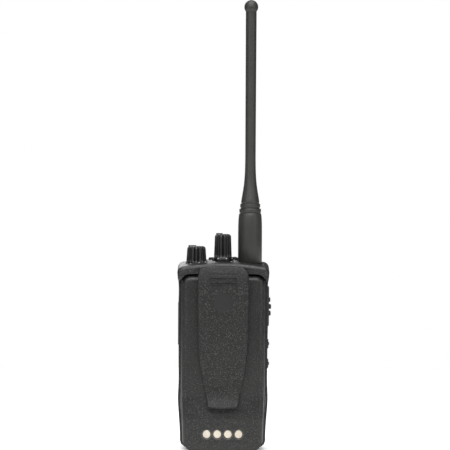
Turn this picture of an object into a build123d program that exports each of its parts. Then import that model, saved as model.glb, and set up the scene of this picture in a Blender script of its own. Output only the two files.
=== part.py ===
"""Handheld two way radio with a slide-on battery, a sprung belt clip and a long whip antenna.

Frame: millimetres, +Z up, origin at the centre of the flat base. The speaker side faces -Y,
the battery and its belt clip face +Y, the push-to-talk side faces -X and the accessory
sockets face +X. Every piece is one node, written to parts/ under its own name.
"""
import os
from math import sqrt

from build123d import *

os.makedirs("parts", exist_ok=True)

# ---------------------------------------------------------------- driving dimensions

# Housing, seen from the front: half widths at heights, then the arched top.
BASE_HALF = 22.3             # half width of the flat base
FOOT_HALF = 23.3             # half width where the foot meets the chamfers
FOOT_HEIGHT = 2.1            # the foot plate stands this far below the chamfers
FOOT_FRONT = -11.4           # front edge of the foot plate
CHAMFER_HALF = 25.2          # half width at the chamfer's lower end
CHAMFER_MIDDLE = (27.4, 3.9)  # the chamfer swells past a straight line here
FLANK = ((28.3, 6.6), (29.0, 22.0), (29.75, 36.5), (29.45, 43.0), (29.4, 56.0), (29.55, 75.0),
         (29.75, 95.0), (29.6, 110.0), (30.3, 117.5), (30.35, 127.0))
CREST_Z = 126.5              # top of the arch, at the front
FRONT_CURVE = 1 / 215        # curvature of the arch across the width, at the front
REAR_CURVE = 1 / 150         # and at the shoulder's rear face
TOP_FALL = 0.07              # the top falls this much per millimetre towards the back
CORNER_RADIUS = 4.2          # top corners, seen from the front
FRONT_RADIUS = 3.8           # rounding of the front's edges
REAR_RADIUS = 2.4            # rounding of the shoulder's rear edges

# Housing, seen from the side.
FRONT_LOW = -14.6            # front face at the base
FRONT_MID = -17.6            # front face at its fullest
FRONT_HIGH = -16.0           # front face above the top
FULLEST_Z = 62.0
PROFILE_TOP = 130.0
OUTLINE_TOP = 127.0          # the front outline ends here, above the arch
SHOULDER_Y = 17.2            # rear face of the shoulder
WING_Z = 111.5               # the shoulder's wings end here, at the parting plane
PARTING_Y = 5.1              # rear edge of the housing's side walls
WALL = 2.0
CAVITY_FLOOR = 3.6
CEILING_Z = 121.4            # flat inner face of the top wall
SHELF_Z = 117.15             # underside of the shoulder, above the battery
SHELF_THICKNESS = 2.2
RIDGE_Y = (-14.2, -9.6)       # ridge on the top, in front of the channel knob
RIDGE_HALF = 9.8
RIDGE_Z = 127.7
LAMP_X = -7.4                # status light, in the ridge
LAMP_Y = -11.9
LAMP_RADIUS = 1.4
LAMP_LOW_Z = 117.0
RABBET_DEPTH = 0.8           # the rear opening is this much wider than the cavity
RABBET_Y = 2.6               # ledge that carries the seal and the chassis
RABBET_TOP = 115.9
CHASSIS_FRONT_Y = 3.0
CHASSIS_BACK_Y = 5.0
CHASSIS_GAP = 0.2
SHOULDER_WALL = 2.2
CAVITY_CORNER = 2.4
CAVITY_EDGE = 2.2
REACH = 40                   # sketches that cut right through reach this far from the middle

# Battery.
BATTERY_FRONT = 5.35
BATTERY_SPLIT = 9.0          # the case and the inner cover meet here
BATTERY_BACK = 16.8          # rear face, upper part
BATTERY_THICK = 18.6         # rear face, lower part
RAMP_Z = (22.0, 36.5)        # the rear face slopes between these heights
BATTERY_TOP = 116.85
BATTERY_CORNER = 6.6         # top corners, seen from the back
BATTERY_EDGE = 4.3           # rounding of the case's rear edges
BATTERY_HALF = ((22.0, 0.0), (23.0, 1.2), (24.4, 2.4), (27.0, 6.4), (28.25, 40.0))
BATTERY_FLOOR = 2.9          # inner floor
CASE_INSET = 0.65            # ledge between the inner cover and the case
CASE_WALL = 1.6
BAY_CLEARANCE = 0.3
BATTERY_TRAVEL = 12.7
HOOK_X = 17.6
HOOK_Z = (34.0, 84.0)        # centres of the hooks with the battery home
HOOK_HEIGHT = 7.0
HOOK_NECK = 1.4              # half width of a hook's neck
HOOK_HEAD = 2.6              # half width of a hook's head
HOOK_PLAY = 0.4
CONTACT_PITCH = 7.0
CONTACT_Z = 11.8
CONTACT_RADIUS = 2.7
PIN_ROOT_Y = 13.5            # the contacts' pins start at the battery's board
TERMINAL_X = (-6.6, -2.2, 2.2, 6.6)
TERMINAL_Z = 23.0
TERMINAL_PAD = (2.6, 9.0)    # width and height of a terminal
CONTACT_BLADE = (1.2, 3.0)   # width and height of a contact on the radio's side
CELL_Z = (39.5, 86.0)
CELL_SIZE = (49.0, 45.0, 7.4)
LATCH_Z = 3.0
LATCH_ROOM = (16.6, 13.6)     # width of the latch plate's room and the depth it reaches
LATCH_SLOT = (14.8, 5.0, 13.0)  # width, front and rear of the thumb pad's slot
LATCH_THICKNESS = 1.5

# Controls on the top, on one line across the radio.
CONTROL_Y = -1.5
SEAT_Z = 123.0               # flat seats cut into the top for the knobs and the antenna
VOLUME_X = 18.0
CHANNEL_X = 0.4
ANTENNA_X = -17.6
SHAFT_RADIUS = 2.0
BUSHING_RADIUS = 3.0
RUNNING = 0.05               # radial clearance of a running fit
KNOB_LIFT = 0.4              # gap under a knob
KNOB_HOLLOW = 5.0            # radius of the hollow that hides the nut
HOLLOW_TOP = 125.9
VOLUME_TOP = 135.7
VOLUME_SHOULDER = 124.6      # top of the skirt
VOLUME_RADII = (6.75, 6.7, 6.1)  # skirt, foot of the grip, crown
VOLUME_FLUTES = 18
CHANNEL_TOP = 143.8
CHANNEL_SHOULDER = 127.4
CHANNEL_RADII = (6.4, 5.85, 5.35)
CHANNEL_FLUTES = 16
SHAFT_COVER = 3.6            # the shafts end this far below the knobs' tops
NUT_RADIUS = 4.6
NUT_THICKNESS = 1.9
SHAFT_LOW = 118.0

# Push-to-talk button and the two buttons below it, on the -X side.
SIDE_Y = -4.0                # centre of the side controls
PTT_Z = 95.3
PTT_HEIGHT = 26.4
PTT_WIDTH = 11.2
PTT_FACE_X = -30.45
PTT_RIBS = ((99.6, -31.35), (95.0, -31.85), (90.6, -31.6))
SIDE_BUTTON_Z = (70.2, 57.0)
SIDE_BUTTON_HEIGHT = 6.2
SIDE_BUTTON_WIDTH = 8.0
SIDE_BUTTON_FACE_X = -30.2
BUTTON_GAP = 0.25            # gap between a side button and its opening
FLANGE_X = -27.15            # outer face of the flanges that hold the buttons in
FLANGE_THICKNESS = 0.75
FLANGE_LIP = 0.7
SWITCH_FACE_X = -24.95
SIDE_BOARD_X = -23.4

# Accessory sockets and their hinged cover, on the +X side.
SOCKET_Y = -3.9
SPEAKER_SOCKET_Z = 90.0
MIC_SOCKET_Z = 77.6
SPEAKER_SOCKET_RADIUS = 1.75
MIC_SOCKET_RADIUS = 1.25
SOCKET_BACK_X = 14.4
SOCKET_STEP_X = 23.9         # the jack's body ends here and its nose starts
SOCKET_FACE_X = 27.4         # floor of the recess behind the cover
COVER_Z = (69.4, 98.2)
COVER_X = (27.85, 29.95)
COVER_REAR_Y = 1.8
COVER_PIN_Y = -8.45
COVER_PIN_RADIUS = 0.5
COVER_GAP = 0.3

# Speaker, microphone and boards.
SPEAKER_Z = 42.0
SPEAKER_SEAT_Y = -13.2
SPEAKER_SEAT = (16.8, 19.3)  # inner and outer radius of the speaker's seat
GASKET = (16.4, 18.4)
CLOTH_THICKNESS = 0.2
GRILLE_RADIUS = 15.0
GRILLE_PITCH = 3.4
GRILLE_SLOT = 1.5
MIC_X = 10.0
MIC_Z = 84.0
MIC_RADIUS = 3.0
MIC_SEAT_Y = -12.8           # front of the microphone, inside its boot
MIC_BOOT_RADIUS = 4.0
MIC_BOOT_Y = -14.6
MIC_SLEEVE = (4.05, 5.0)     # inner and outer radius of the sleeve that holds the boot
BADGE_Z = 107.0
BADGE_SEAT_Y = -16.0
BADGE_SIZE = (23.8, 6.8)
BOARD_FRONT_Y = -3.6
BOARD_THICKNESS = 1.0
BOARD_HALF = 20.6
BOARD_Z = (5.5, 107.0)
BOARD_SCREW_X = 17.8
BOARD_SCREW_Z = (9.4, 103.0)
BOSS_X = 23.6
BOSS_Z = (10.5, 111.9)
BOSS_RADIUS = 2.5
BOARD_BOSS_RADIUS = 2.2
SCREW_RADIUS = 1.0
SCREW_HEAD_RADIUS = 1.9

# Belt clip.
CLIP_PIN_Y = 21.5
CLIP_PIN_Z = 103.0
CLIP_PIN_RADIUS = 1.2
CLIP_KNUCKLE = 2.4           # radius of the ears and ribs around the pin
CLIP_FACE_Y = 24.2           # inner face of the lever beside the pin
CLIP_HALF = ((16.5, 114.5), (16.5, 99.0), (16.1, 80.0), (15.6, 66.5), (13.9, 52.0), (10.4, 33.0))
CLIP_CREST_Z = 122.3
CLIP_SIDE_TOP_Z = 121.2
CLIP_LOW_Z = 29.0
CLIP_OUTER = ((25.6, 123.2), (27.2, 116.5), (27.6, 103.0), (27.2, 84.0), (24.9, 64.0),
              (20.9, 47.0), (20.5, 39.5), (22.3, 32.5), (26.0, 26.0))
CLIP_INNER = ((23.2, 26.0), (19.3, 34.0), (17.7, 41.0), (18.3, 47.0), (22.2, 64.0), (24.15, 86.0))
CLIP_EDGE = 0.8              # rounding of the lever's outer edges
GROOVE_Z = (117.1, 113.9, 110.7)
GROOVE_RADIUS = 0.95
CLIP_EAR_X = 11.35           # middle of the base's ears
CLIP_RIB_X = 8.9             # middle of the lever's ribs
CLIP_EAR_WIDTH = 2.2
CLIP_ROOT_HALF = 4.6         # half height of an ear's root
CLIP_TIP_HALF = 9.9          # half width of the lever's lower end
SPRING_PITCH = 1.35
SPRING_GAP = 0.75            # from the pin to the middle of the spring's wire
WIRE_RADIUS = 0.35
GROOVE_HALF = (9.5, 9.0, 8.5)
DISC_Z = 98.9
DISC_RADIUS = 6.6
DISC_SEAT_Y = 27.15
DISC_THICKNESS = 0.35

# Antenna: radius at height, from the seat to the neck below the ball.
ANTENNA_SLEEVE = 8.0
ANTENNA_SLEEVE_TOP = 157.0
ANTENNA_RINGS = ((7.35, 157.9, 160.2), (6.75, 161.0, 163.3))
ANTENNA_FLARE = ((6.15, 164.2), (4.9, 170.5), (3.9, 178.0), (3.48, 190.0), (3.48, 200.0), (3.6, 289.8))
ANTENNA_BALL = 4.65
ANTENNA_BALL_Z = 294.2
STUD_RADIUS = 2.95
STUD_TOP = 134.0             # the stud reaches this high inside the antenna


# ---------------------------------------------------------------- helpers

def finish(piece, name):
    """Label a finished piece and write it to its own STEP file."""
    piece.part.label = name
    export_step(piece.part, f"parts/{name}.step")


def body_outline(inset, floor, ceiling):
    """Return the housing's outline, seen from the front, with a flat top."""
    flank = [(half - inset, height) for half, height in FLANK if height < ceiling]
    flank[0] = (flank[0][0], max(flank[0][1], floor + 0.5))
    swell = [] if inset else [CHAMFER_MIDDLE]
    with BuildSketch() as outline:
        with BuildLine():
            rail = Spline(*flank, (flank[-1][0], ceiling))
            Polyline((0, floor), (CHAMFER_HALF - 0.6 * inset, floor), *swell, rail @ 0)
            Line(rail @ 1, (0, ceiling))
            mirror(about=Plane.YZ)
        make_face()
    return outline.sketch


def battery_outline(inset, floor, top, corner):
    """Return the battery's outline, seen from the back, with round top corners."""
    side = [(half - inset, max(height, floor)) for half, height in BATTERY_HALF]
    with BuildSketch() as outline:
        with BuildLine():
            Polyline((0, floor), *side, (side[-1][0], top), (0, top))
            mirror(about=Plane.YZ)
        make_face()
        fillet(outline.vertices().filter_by(lambda v: v.Y > top - 1), corner)
    return outline.sketch


def rounded_rectangle(x, y, width, height, radius):
    """Return a rectangle with round corners, centred at x, y."""
    with BuildSketch() as outline:
        with Locations((x, y)):
            RectangleRounded(width, height, radius)
    return outline.sketch


def hull_of(radius, x, y, plate_x, plate_half):
    """Return the hull of a knuckle circle and a line on the plate that carries it."""
    with BuildSketch() as outline:
        with Locations((x, y)):
            Circle(radius)
        with Locations((plate_x, y)):
            Rectangle(0.4, 2 * plate_half)
        make_hull()
    return outline.sketch


def arch_section(y):
    """Return the section under the arched top at a depth: rounder towards the back."""
    share = (y - FRONT_HIGH) / (SHOULDER_Y - FRONT_HIGH)
    radius = 1 / (FRONT_CURVE + share * (REAR_CURVE - FRONT_CURVE))
    crest = CREST_Z - TOP_FALL * (y - FRONT_HIGH)
    end = crest - (radius - sqrt(radius ** 2 - REACH ** 2))
    with BuildSketch() as section:
        with BuildLine():
            arch = ThreePointArc((-REACH, end), (0, crest), (REACH, end))
            Polyline(arch @ 1, (REACH, -REACH), (-REACH, -REACH), arch @ 0)
        make_face()
    return section.sketch


def axis_plane(x, z, y=0.0):
    """Plane square to the radio's depth, its own +Z towards the back."""
    return Plane(origin=(x, y, z), x_dir=(-1, 0, 0), z_dir=(0, 1, 0))


def turning_plane(x, y):
    """Upright plane through a vertical axis, for profiles that are revolved."""
    return Plane(origin=(x, y, 0), x_dir=(1, 0, 0), z_dir=(0, -1, 0))


# ---------------------------------------------------------------- housing

with BuildPart() as top_form:
    # Everything under the arched top.
    for depth in (-25, 25):
        with BuildSketch(Plane.XZ.offset(-depth)):
            add(arch_section(depth))
    loft(ruled=True)

with BuildPart() as housing_block:
    # The outline seen from the front, carried through the whole depth.
    with BuildSketch(Plane.XZ.offset(25)):
        add(body_outline(0, FOOT_HEIGHT, OUTLINE_TOP))
    extrude(amount=-50)
    # The outline seen from the side: bulged front and upright back.
    with BuildSketch(Plane.YZ.offset(-REACH)):
        with BuildLine():
            front = ThreePointArc((FRONT_LOW, 0), (FRONT_MID, FULLEST_Z), (FRONT_HIGH, PROFILE_TOP))
            Polyline(front @ 1, (SHOULDER_Y, PROFILE_TOP), (SHOULDER_Y, 0), front @ 0)
        make_face()
    extrude(amount=2 * REACH, mode=Mode.INTERSECT)
    # The arched top, falling towards the back.
    add(top_form.part, mode=Mode.INTERSECT)
    # Rounded top corners, then the front's edges, then the rear edges of the shoulder.
    top_sides = housing_block.edges().filter_by(lambda e: e.bounding_box().size.Y > 30 and e.center().Z > 115)
    fillet(top_sides, CORNER_RADIUS)
    front_edges = housing_block.edges().filter_by(lambda e: e.bounding_box().max.Y < -10)
    fillet(front_edges, FRONT_RADIUS)
    rear_edges = housing_block.edges().filter_by(
        lambda e: e.bounding_box().min.Y > SHOULDER_Y - 0.01 and e.center().Z > 8)
    fillet(rear_edges, REAR_RADIUS)

with BuildPart() as top_ridge:
    # Raised ridge along the front of the top, between the volume knob and the antenna.
    with BuildSketch(Plane.XZ.offset(-RIDGE_Y[0])):
        with BuildLine():
            brow = ThreePointArc((-RIDGE_HALF, RIDGE_Z - 0.4), (0, RIDGE_Z), (RIDGE_HALF, RIDGE_Z - 0.4))
            Polyline(brow @ 1, (RIDGE_HALF + 0.6, 124), (-RIDGE_HALF - 0.6, 124), brow @ 0)
        make_face()
    extrude(amount=-(RIDGE_Y[1] - RIDGE_Y[0]))
    fillet(top_ridge.faces().sort_by(Axis.Z)[-1].edges(), 0.5)

with BuildPart() as housing_cavity:
    # The hollow in front of the chassis, with the shoulder's own hollow above the shelf.
    with BuildSketch(Plane.XZ.offset(20)):
        add(body_outline(WALL, CAVITY_FLOOR, CEILING_Z))
    extrude(amount=-35)
    with BuildSketch(Plane.YZ.offset(-REACH)):
        with BuildLine():
            inner = ThreePointArc((FRONT_LOW + WALL, 0), (FRONT_MID + WALL, FULLEST_Z),
                                  (FRONT_HIGH + WALL, PROFILE_TOP))
            Polyline(inner @ 1, (SHOULDER_Y - SHOULDER_WALL, PROFILE_TOP),
                     (SHOULDER_Y - SHOULDER_WALL, SHELF_Z + SHELF_THICKNESS),
                     (CHASSIS_FRONT_Y, SHELF_Z + SHELF_THICKNESS), (CHASSIS_FRONT_Y, 0), inner @ 0)
        make_face()
    extrude(amount=2 * REACH, mode=Mode.INTERSECT)
    ceiling_sides = housing_cavity.edges().filter_by(Axis.Y).filter_by(
        lambda e: e.center().Z > CEILING_Z - 0.5)
    fillet(ceiling_sides, CAVITY_CORNER)
    cavity_front = housing_cavity.edges().filter_by(lambda e: e.bounding_box().max.Y < -10)
    fillet(cavity_front, CAVITY_EDGE)

with BuildPart() as housing_bosses:
    # Screw bosses, speaker seat, microphone sleeve and the wall behind the sockets.
    with BuildSketch(axis_plane(0, 0, CHASSIS_FRONT_Y)):
        with Locations([(x, z) for x in (-BOSS_X, BOSS_X) for z in BOSS_Z]):
            Circle(BOSS_RADIUS)
    extrude(amount=-25)
    with BuildSketch(axis_plane(0, 0, BOARD_FRONT_Y)):
        with Locations([(x, z) for x in (-BOARD_SCREW_X, BOARD_SCREW_X) for z in BOARD_SCREW_Z]):
            Circle(BOARD_BOSS_RADIUS)
    extrude(amount=-18)
    with BuildSketch(axis_plane(0, SPEAKER_Z, SPEAKER_SEAT_Y)):
        Circle(SPEAKER_SEAT[1])
        Circle(SPEAKER_SEAT[0], mode=Mode.SUBTRACT)
    extrude(amount=-8)
    with BuildSketch(axis_plane(MIC_X, MIC_Z, -11.5)):
        Circle(MIC_SLEEVE[1])
        Circle(MIC_SLEEVE[0], mode=Mode.SUBTRACT)
    extrude(amount=-8)
    with BuildSketch(Plane.YZ.offset(24)):
        with Locations(((COVER_PIN_Y + COVER_REAR_Y) / 2 - 0.9, sum(COVER_Z) / 2)):
            Rectangle(12.9, 32.4)
    extrude(amount=8)
    add(housing_block.part, mode=Mode.INTERSECT)

with BuildPart() as front_housing:
    add(housing_block.part)
    # Foot plate under the base.
    with BuildSketch(Plane.XZ.offset(-FOOT_FRONT)):
        Polygon((-BASE_HALF, 0), (BASE_HALF, 0), (FOOT_HALF, FOOT_HEIGHT), (FOOT_HALF, FOOT_HEIGHT + 0.5),
                (-FOOT_HALF, FOOT_HEIGHT + 0.5), (-FOOT_HALF, FOOT_HEIGHT), align=None)
    extrude(amount=-(PARTING_Y - FOOT_FRONT))
    # Battery bay: everything behind the parting plane and below the shoulder and its wings.
    with BuildSketch(Plane.YZ.offset(-REACH)):
        Polygon((PARTING_Y, -5), (PARTING_Y, WING_Z), (SHOULDER_Y - 1.6, 113.9), (SHOULDER_Y + 8, 115.1),
                (SHOULDER_Y + 8, -5), align=None)
    extrude(amount=2 * REACH, mode=Mode.SUBTRACT)
    with BuildSketch(Plane.XZ.offset(-PARTING_Y)):
        add(battery_outline(-BAY_CLEARANCE, -5, SHELF_Z, BATTERY_CORNER + BAY_CLEARANCE))
    extrude(amount=-20, mode=Mode.SUBTRACT)
    add(top_ridge.part)
    add(housing_cavity.part, mode=Mode.SUBTRACT)
    # Rear opening with the ledge for the seal and the chassis.
    with BuildSketch(Plane.XZ.offset(-RABBET_Y)):
        add(body_outline(WALL - RABBET_DEPTH, CAVITY_FLOOR - RABBET_DEPTH, RABBET_TOP))
    extrude(amount=-(PARTING_Y - RABBET_Y + 0.2), mode=Mode.SUBTRACT)
    add(housing_bosses.part)
    # Holes for the chassis screws and the board screws.
    with BuildSketch(axis_plane(0, 0, CHASSIS_FRONT_Y)):
        with Locations([(x, z) for x in (-BOSS_X, BOSS_X) for z in BOSS_Z]):
            Circle(SCREW_RADIUS)
    extrude(amount=-9, mode=Mode.SUBTRACT)
    with BuildSketch(axis_plane(0, 0, BOARD_FRONT_Y)):
        with Locations([(x, z) for x in (-BOARD_SCREW_X, BOARD_SCREW_X) for z in BOARD_SCREW_Z]):
            Circle(SCREW_RADIUS)
    extrude(amount=-5, mode=Mode.SUBTRACT)
    # Seats for the two knobs and the antenna, with their holes through the top wall.
    with BuildSketch(Plane.XY.offset(SEAT_Z)):
        with Locations((VOLUME_X, CONTROL_Y)):
            Circle(7.5)
        with Locations((CHANNEL_X, CONTROL_Y)):
            Circle(7.1)
        with Locations((ANTENNA_X, CONTROL_Y)):
            Circle(8.5)
    extrude(amount=6, mode=Mode.SUBTRACT)
    with BuildSketch(Plane.XY.offset(CEILING_Z - 1)):
        with Locations((VOLUME_X, CONTROL_Y), (CHANNEL_X, CONTROL_Y)):
            Circle(BUSHING_RADIUS + 0.1)
        with Locations((ANTENNA_X, CONTROL_Y)):
            Circle(4.75)
    extrude(amount=4, mode=Mode.SUBTRACT)
    # Window of the status light.
    with BuildSketch(Plane.XY.offset(CEILING_Z - 1)):
        with Locations((LAMP_X, LAMP_Y)):
            Circle(LAMP_RADIUS)
    extrude(amount=8, mode=Mode.SUBTRACT)
    # Openings of the push-to-talk button and the two side buttons.
    with BuildSketch(Plane.YZ.offset(-35)):
        add(rounded_rectangle(SIDE_Y, PTT_Z, PTT_WIDTH + 2 * BUTTON_GAP, PTT_HEIGHT + 2 * BUTTON_GAP, 3.2))
        for height in SIDE_BUTTON_Z:
            add(rounded_rectangle(SIDE_Y, height, SIDE_BUTTON_WIDTH + 2 * BUTTON_GAP,
                                  SIDE_BUTTON_HEIGHT + 2 * BUTTON_GAP, 2.4))
    extrude(amount=9, mode=Mode.SUBTRACT)
    # Recess of the accessory cover, the socket noses and the cover's pin.
    cover_centre = (COVER_PIN_Y - 1.05 + COVER_REAR_Y) / 2
    cover_width = COVER_REAR_Y - COVER_PIN_Y + 1.05
    with BuildSketch(Plane.YZ.offset(SOCKET_FACE_X)):
        with Locations((cover_centre, sum(COVER_Z) / 2)):
            Rectangle(cover_width + 2 * COVER_GAP, COVER_Z[1] - COVER_Z[0] + 2 * COVER_GAP)
    extrude(amount=8, mode=Mode.SUBTRACT)
    with BuildSketch(Plane.YZ.offset(23)):
        with Locations((SOCKET_Y, SPEAKER_SOCKET_Z)):
            Circle(3.0)
        with Locations((SOCKET_Y, MIC_SOCKET_Z)):
            Circle(2.5)
    extrude(amount=8, mode=Mode.SUBTRACT)
    with BuildSketch(Plane.XY.offset(COVER_Z[0] - 1.5)):
        with Locations((sum(COVER_X) / 2, COVER_PIN_Y)):
            Circle(COVER_PIN_RADIUS)
    extrude(amount=COVER_Z[1] - COVER_Z[0] + 3, mode=Mode.SUBTRACT)
    # Speaker slots, microphone hole and the recess of the blank badge.
    slot_rows = range(-4, 5)
    with BuildSketch(axis_plane(0, SPEAKER_Z, SPEAKER_SEAT_Y)):
        for row in slot_rows:
            reach = sqrt(GRILLE_RADIUS ** 2 - (row * GRILLE_PITCH) ** 2)
            with Locations((0, row * GRILLE_PITCH)):
                SlotOverall(2 * reach, GRILLE_SLOT)
    extrude(amount=-8, mode=Mode.SUBTRACT)
    with BuildSketch(axis_plane(MIC_X, MIC_Z, -12)):
        Circle(0.7)
    extrude(amount=-8, mode=Mode.SUBTRACT)
    with BuildSketch(axis_plane(0, BADGE_Z, BADGE_SEAT_Y)):
        SlotOverall(24, 7)
    extrude(amount=-6, mode=Mode.SUBTRACT)
finish(front_housing, "front_housing")

with BuildPart() as front_badge:
    # Blank plate that fills its recess, flush with the bulged front.
    with BuildSketch(axis_plane(0, BADGE_Z, BADGE_SEAT_Y)):
        SlotOverall(*BADGE_SIZE)
    extrude(amount=-6)
    add(housing_block.part, mode=Mode.INTERSECT)
finish(front_badge, "front_badge")

with BuildPart() as led_lens:
    with BuildSketch(Plane.XY.offset(LAMP_LOW_Z)):
        with Locations((LAMP_X, LAMP_Y)):
            Circle(LAMP_RADIUS)
    extrude(amount=RIDGE_Z + 0.1 - LAMP_LOW_Z)
    fillet(led_lens.edges().sort_by(Axis.Z)[-1], 0.4)
finish(led_lens, "led_lens")

# ---------------------------------------------------------------- speaker and microphone

with BuildPart() as speaker_grille_cloth:
    with BuildSketch(axis_plane(0, SPEAKER_Z, SPEAKER_SEAT_Y)):
        Circle(GASKET[1])
    extrude(amount=CLOTH_THICKNESS)
finish(speaker_grille_cloth, "speaker_grille_cloth")

with BuildPart() as speaker_gasket:
    with BuildSketch(axis_plane(0, SPEAKER_Z, SPEAKER_SEAT_Y + CLOTH_THICKNESS)):
        Circle(GASKET[1])
        Circle(GASKET[0], mode=Mode.SUBTRACT)
    extrude(amount=0.6)
finish(speaker_gasket, "speaker_gasket")

# Profiles of the speaker: x is the radius, y runs towards the back from the seat.
speaker_plane = Plane(origin=(0, SPEAKER_SEAT_Y, SPEAKER_Z), x_dir=(1, 0, 0), z_dir=(0, 0, 1))
speaker_axis = Axis((0, SPEAKER_SEAT_Y, SPEAKER_Z), (0, 1, 0))

with BuildPart() as speaker_frame:
    with BuildSketch(speaker_plane):
        Polygon((16.3, 0.8), (18.2, 0.8), (18.2, 1.8), (17.2, 1.8), (10.2, 6.6), (8.0, 6.6), (8.0, 5.9),
                (9.9, 5.9), (16.3, 1.5), align=None)
    revolve(axis=speaker_axis)
finish(speaker_frame, "speaker_frame")

with BuildPart() as speaker_magnet:
    with BuildSketch(speaker_plane):
        Polygon((0, 6.6), (9.0, 6.6), (9.0, 9.0), (0, 9.0), align=None)
    revolve(axis=speaker_axis)
    chamfer(speaker_magnet.edges().filter_by(GeomType.CIRCLE), 0.3)
finish(speaker_magnet, "speaker_magnet")

with BuildPart() as speaker_cone:
    # Rolled edge, cone and dust dome, one thin moulding.
    with BuildSketch(speaker_plane):
        Polygon((0, 3.0), (2.4, 3.3), (4.6, 4.2), (14.4, 1.3), (15.4, 1.2), (15.4, 1.5), (14.5, 1.7),
                (4.8, 4.7), (2.4, 3.8), (0, 3.5), align=None)
    revolve(axis=speaker_axis)
finish(speaker_cone, "speaker_cone")

with BuildPart() as microphone_boot:
    with BuildSketch(axis_plane(MIC_X, MIC_Z, MIC_BOOT_Y)):
        Circle(MIC_BOOT_RADIUS)
    extrude(amount=4.8)
    with BuildSketch(axis_plane(MIC_X, MIC_Z, MIC_SEAT_Y)):
        Circle(MIC_RADIUS)
    extrude(amount=3.0, mode=Mode.SUBTRACT)
    with BuildSketch(axis_plane(MIC_X, MIC_Z, MIC_BOOT_Y)):
        Circle(0.8)
    extrude(amount=2.0, mode=Mode.SUBTRACT)
finish(microphone_boot, "microphone_boot")

with BuildPart() as microphone:
    with BuildSketch(axis_plane(MIC_X, MIC_Z, MIC_SEAT_Y)):
        Circle(MIC_RADIUS)
    extrude(amount=2.2)
finish(microphone, "microphone")

# ---------------------------------------------------------------- push-to-talk and side buttons

with BuildPart() as ptt_button:
    with BuildSketch(Plane.YZ.offset(PTT_FACE_X)):
        add(rounded_rectangle(SIDE_Y, PTT_Z, PTT_WIDTH, PTT_HEIGHT, 3.0))
    extrude(amount=FLANGE_X - PTT_FACE_X)
    fillet(ptt_button.faces().sort_by(Axis.X)[0].edges(), 0.6)
    with BuildSketch(Plane.YZ.offset(FLANGE_X)):
        add(rounded_rectangle(SIDE_Y, PTT_Z, PTT_WIDTH + 2 * FLANGE_LIP, PTT_HEIGHT + 2 * FLANGE_LIP, 3.0))
    extrude(amount=FLANGE_THICKNESS)
    # Three rounded ribs for the thumb.
    for rib_z, rib_x in PTT_RIBS:
        with BuildSketch(Plane.XZ.offset(-SIDE_Y + 4.3)):
            with Locations(((rib_x + PTT_FACE_X) / 2 + 0.4, rib_z)):
                RectangleRounded(abs(rib_x - PTT_FACE_X) + 0.8, 2.9, 0.62)
        extrude(amount=-8.6)
finish(ptt_button, "ptt_button")

with BuildPart() as ptt_switch_plunger:
    with BuildSketch(Plane.YZ.offset(FLANGE_X + FLANGE_THICKNESS)):
        with Locations((SIDE_Y, PTT_Z)):
            Circle(1.0)
    extrude(amount=SWITCH_FACE_X - 0.1 - FLANGE_X - FLANGE_THICKNESS)
finish(ptt_switch_plunger, "ptt_switch_plunger")


def side_switch(height, size):
    """Return one push switch on the side board, its recess facing the button."""
    with BuildPart() as switch:
        with BuildSketch(Plane.YZ.offset(SWITCH_FACE_X)):
            add(rounded_rectangle(SIDE_Y, height, size, size, 0.4))
        extrude(amount=SIDE_BOARD_X - SWITCH_FACE_X)
        with BuildSketch(Plane.YZ.offset(SWITCH_FACE_X)):
            with Locations((SIDE_Y, height)):
                Circle(1.35)
        extrude(amount=1.25, mode=Mode.SUBTRACT)
    return switch.part


with BuildPart() as ptt_switch:
    add(side_switch(PTT_Z, 6.0))
finish(ptt_switch, "ptt_switch")

with BuildPart() as side_switches:
    for height in SIDE_BUTTON_Z:
        add(side_switch(height, 4.6))
finish(side_switches, "side_switches")

with BuildPart() as side_control_board:
    with BuildSketch(Plane.YZ.offset(SIDE_BOARD_X)):
        with Locations((SIDE_Y, 76)):
            RectangleRounded(8.6, 47, 1.0)
    extrude(amount=0.8)
    # Tab that meets the main board's edge.
    with BuildSketch(axis_plane(0, 0, BOARD_FRONT_Y)):
        with Locations(((BOARD_HALF - SIDE_BOARD_X) / 2 - 0.2, 63)):
            Rectangle(-SIDE_BOARD_X - BOARD_HALF - 0.4, 5)
    extrude(amount=BOARD_THICKNESS)
finish(side_control_board, "side_control_board")

for button_z, button_name in zip(SIDE_BUTTON_Z, ("side_button_upper", "side_button_lower")):
    with BuildPart() as side_button:
        with BuildSketch(Plane.YZ.offset(SIDE_BUTTON_FACE_X)):
            add(rounded_rectangle(SIDE_Y, button_z, SIDE_BUTTON_WIDTH, SIDE_BUTTON_HEIGHT, 2.2))
        extrude(amount=FLANGE_X - SIDE_BUTTON_FACE_X)
        fillet(side_button.faces().sort_by(Axis.X)[0].edges(), 0.5)
        with BuildSketch(Plane.YZ.offset(FLANGE_X)):
            add(rounded_rectangle(SIDE_Y, button_z, SIDE_BUTTON_WIDTH + 2 * FLANGE_LIP,
                                  SIDE_BUTTON_HEIGHT + 2 * FLANGE_LIP, 2.2))
        extrude(amount=FLANGE_THICKNESS)
        # Post that works the switch, and the raised dot the finger finds.
        with BuildSketch(Plane.YZ.offset(FLANGE_X + FLANGE_THICKNESS)):
            with Locations((SIDE_Y, button_z)):
                Circle(1.0)
        extrude(amount=SWITCH_FACE_X - 0.1 - FLANGE_X - FLANGE_THICKNESS)
        with BuildSketch(Plane.YZ.offset(SIDE_BUTTON_FACE_X - 0.55)):
            with Locations((SIDE_Y, button_z)):
                Circle(1.1)
        extrude(amount=1.0)
        fillet(side_button.faces().sort_by(Axis.X)[0].edges(), 0.45)
    finish(side_button, button_name)

# ---------------------------------------------------------------- accessory sockets and cover


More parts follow.
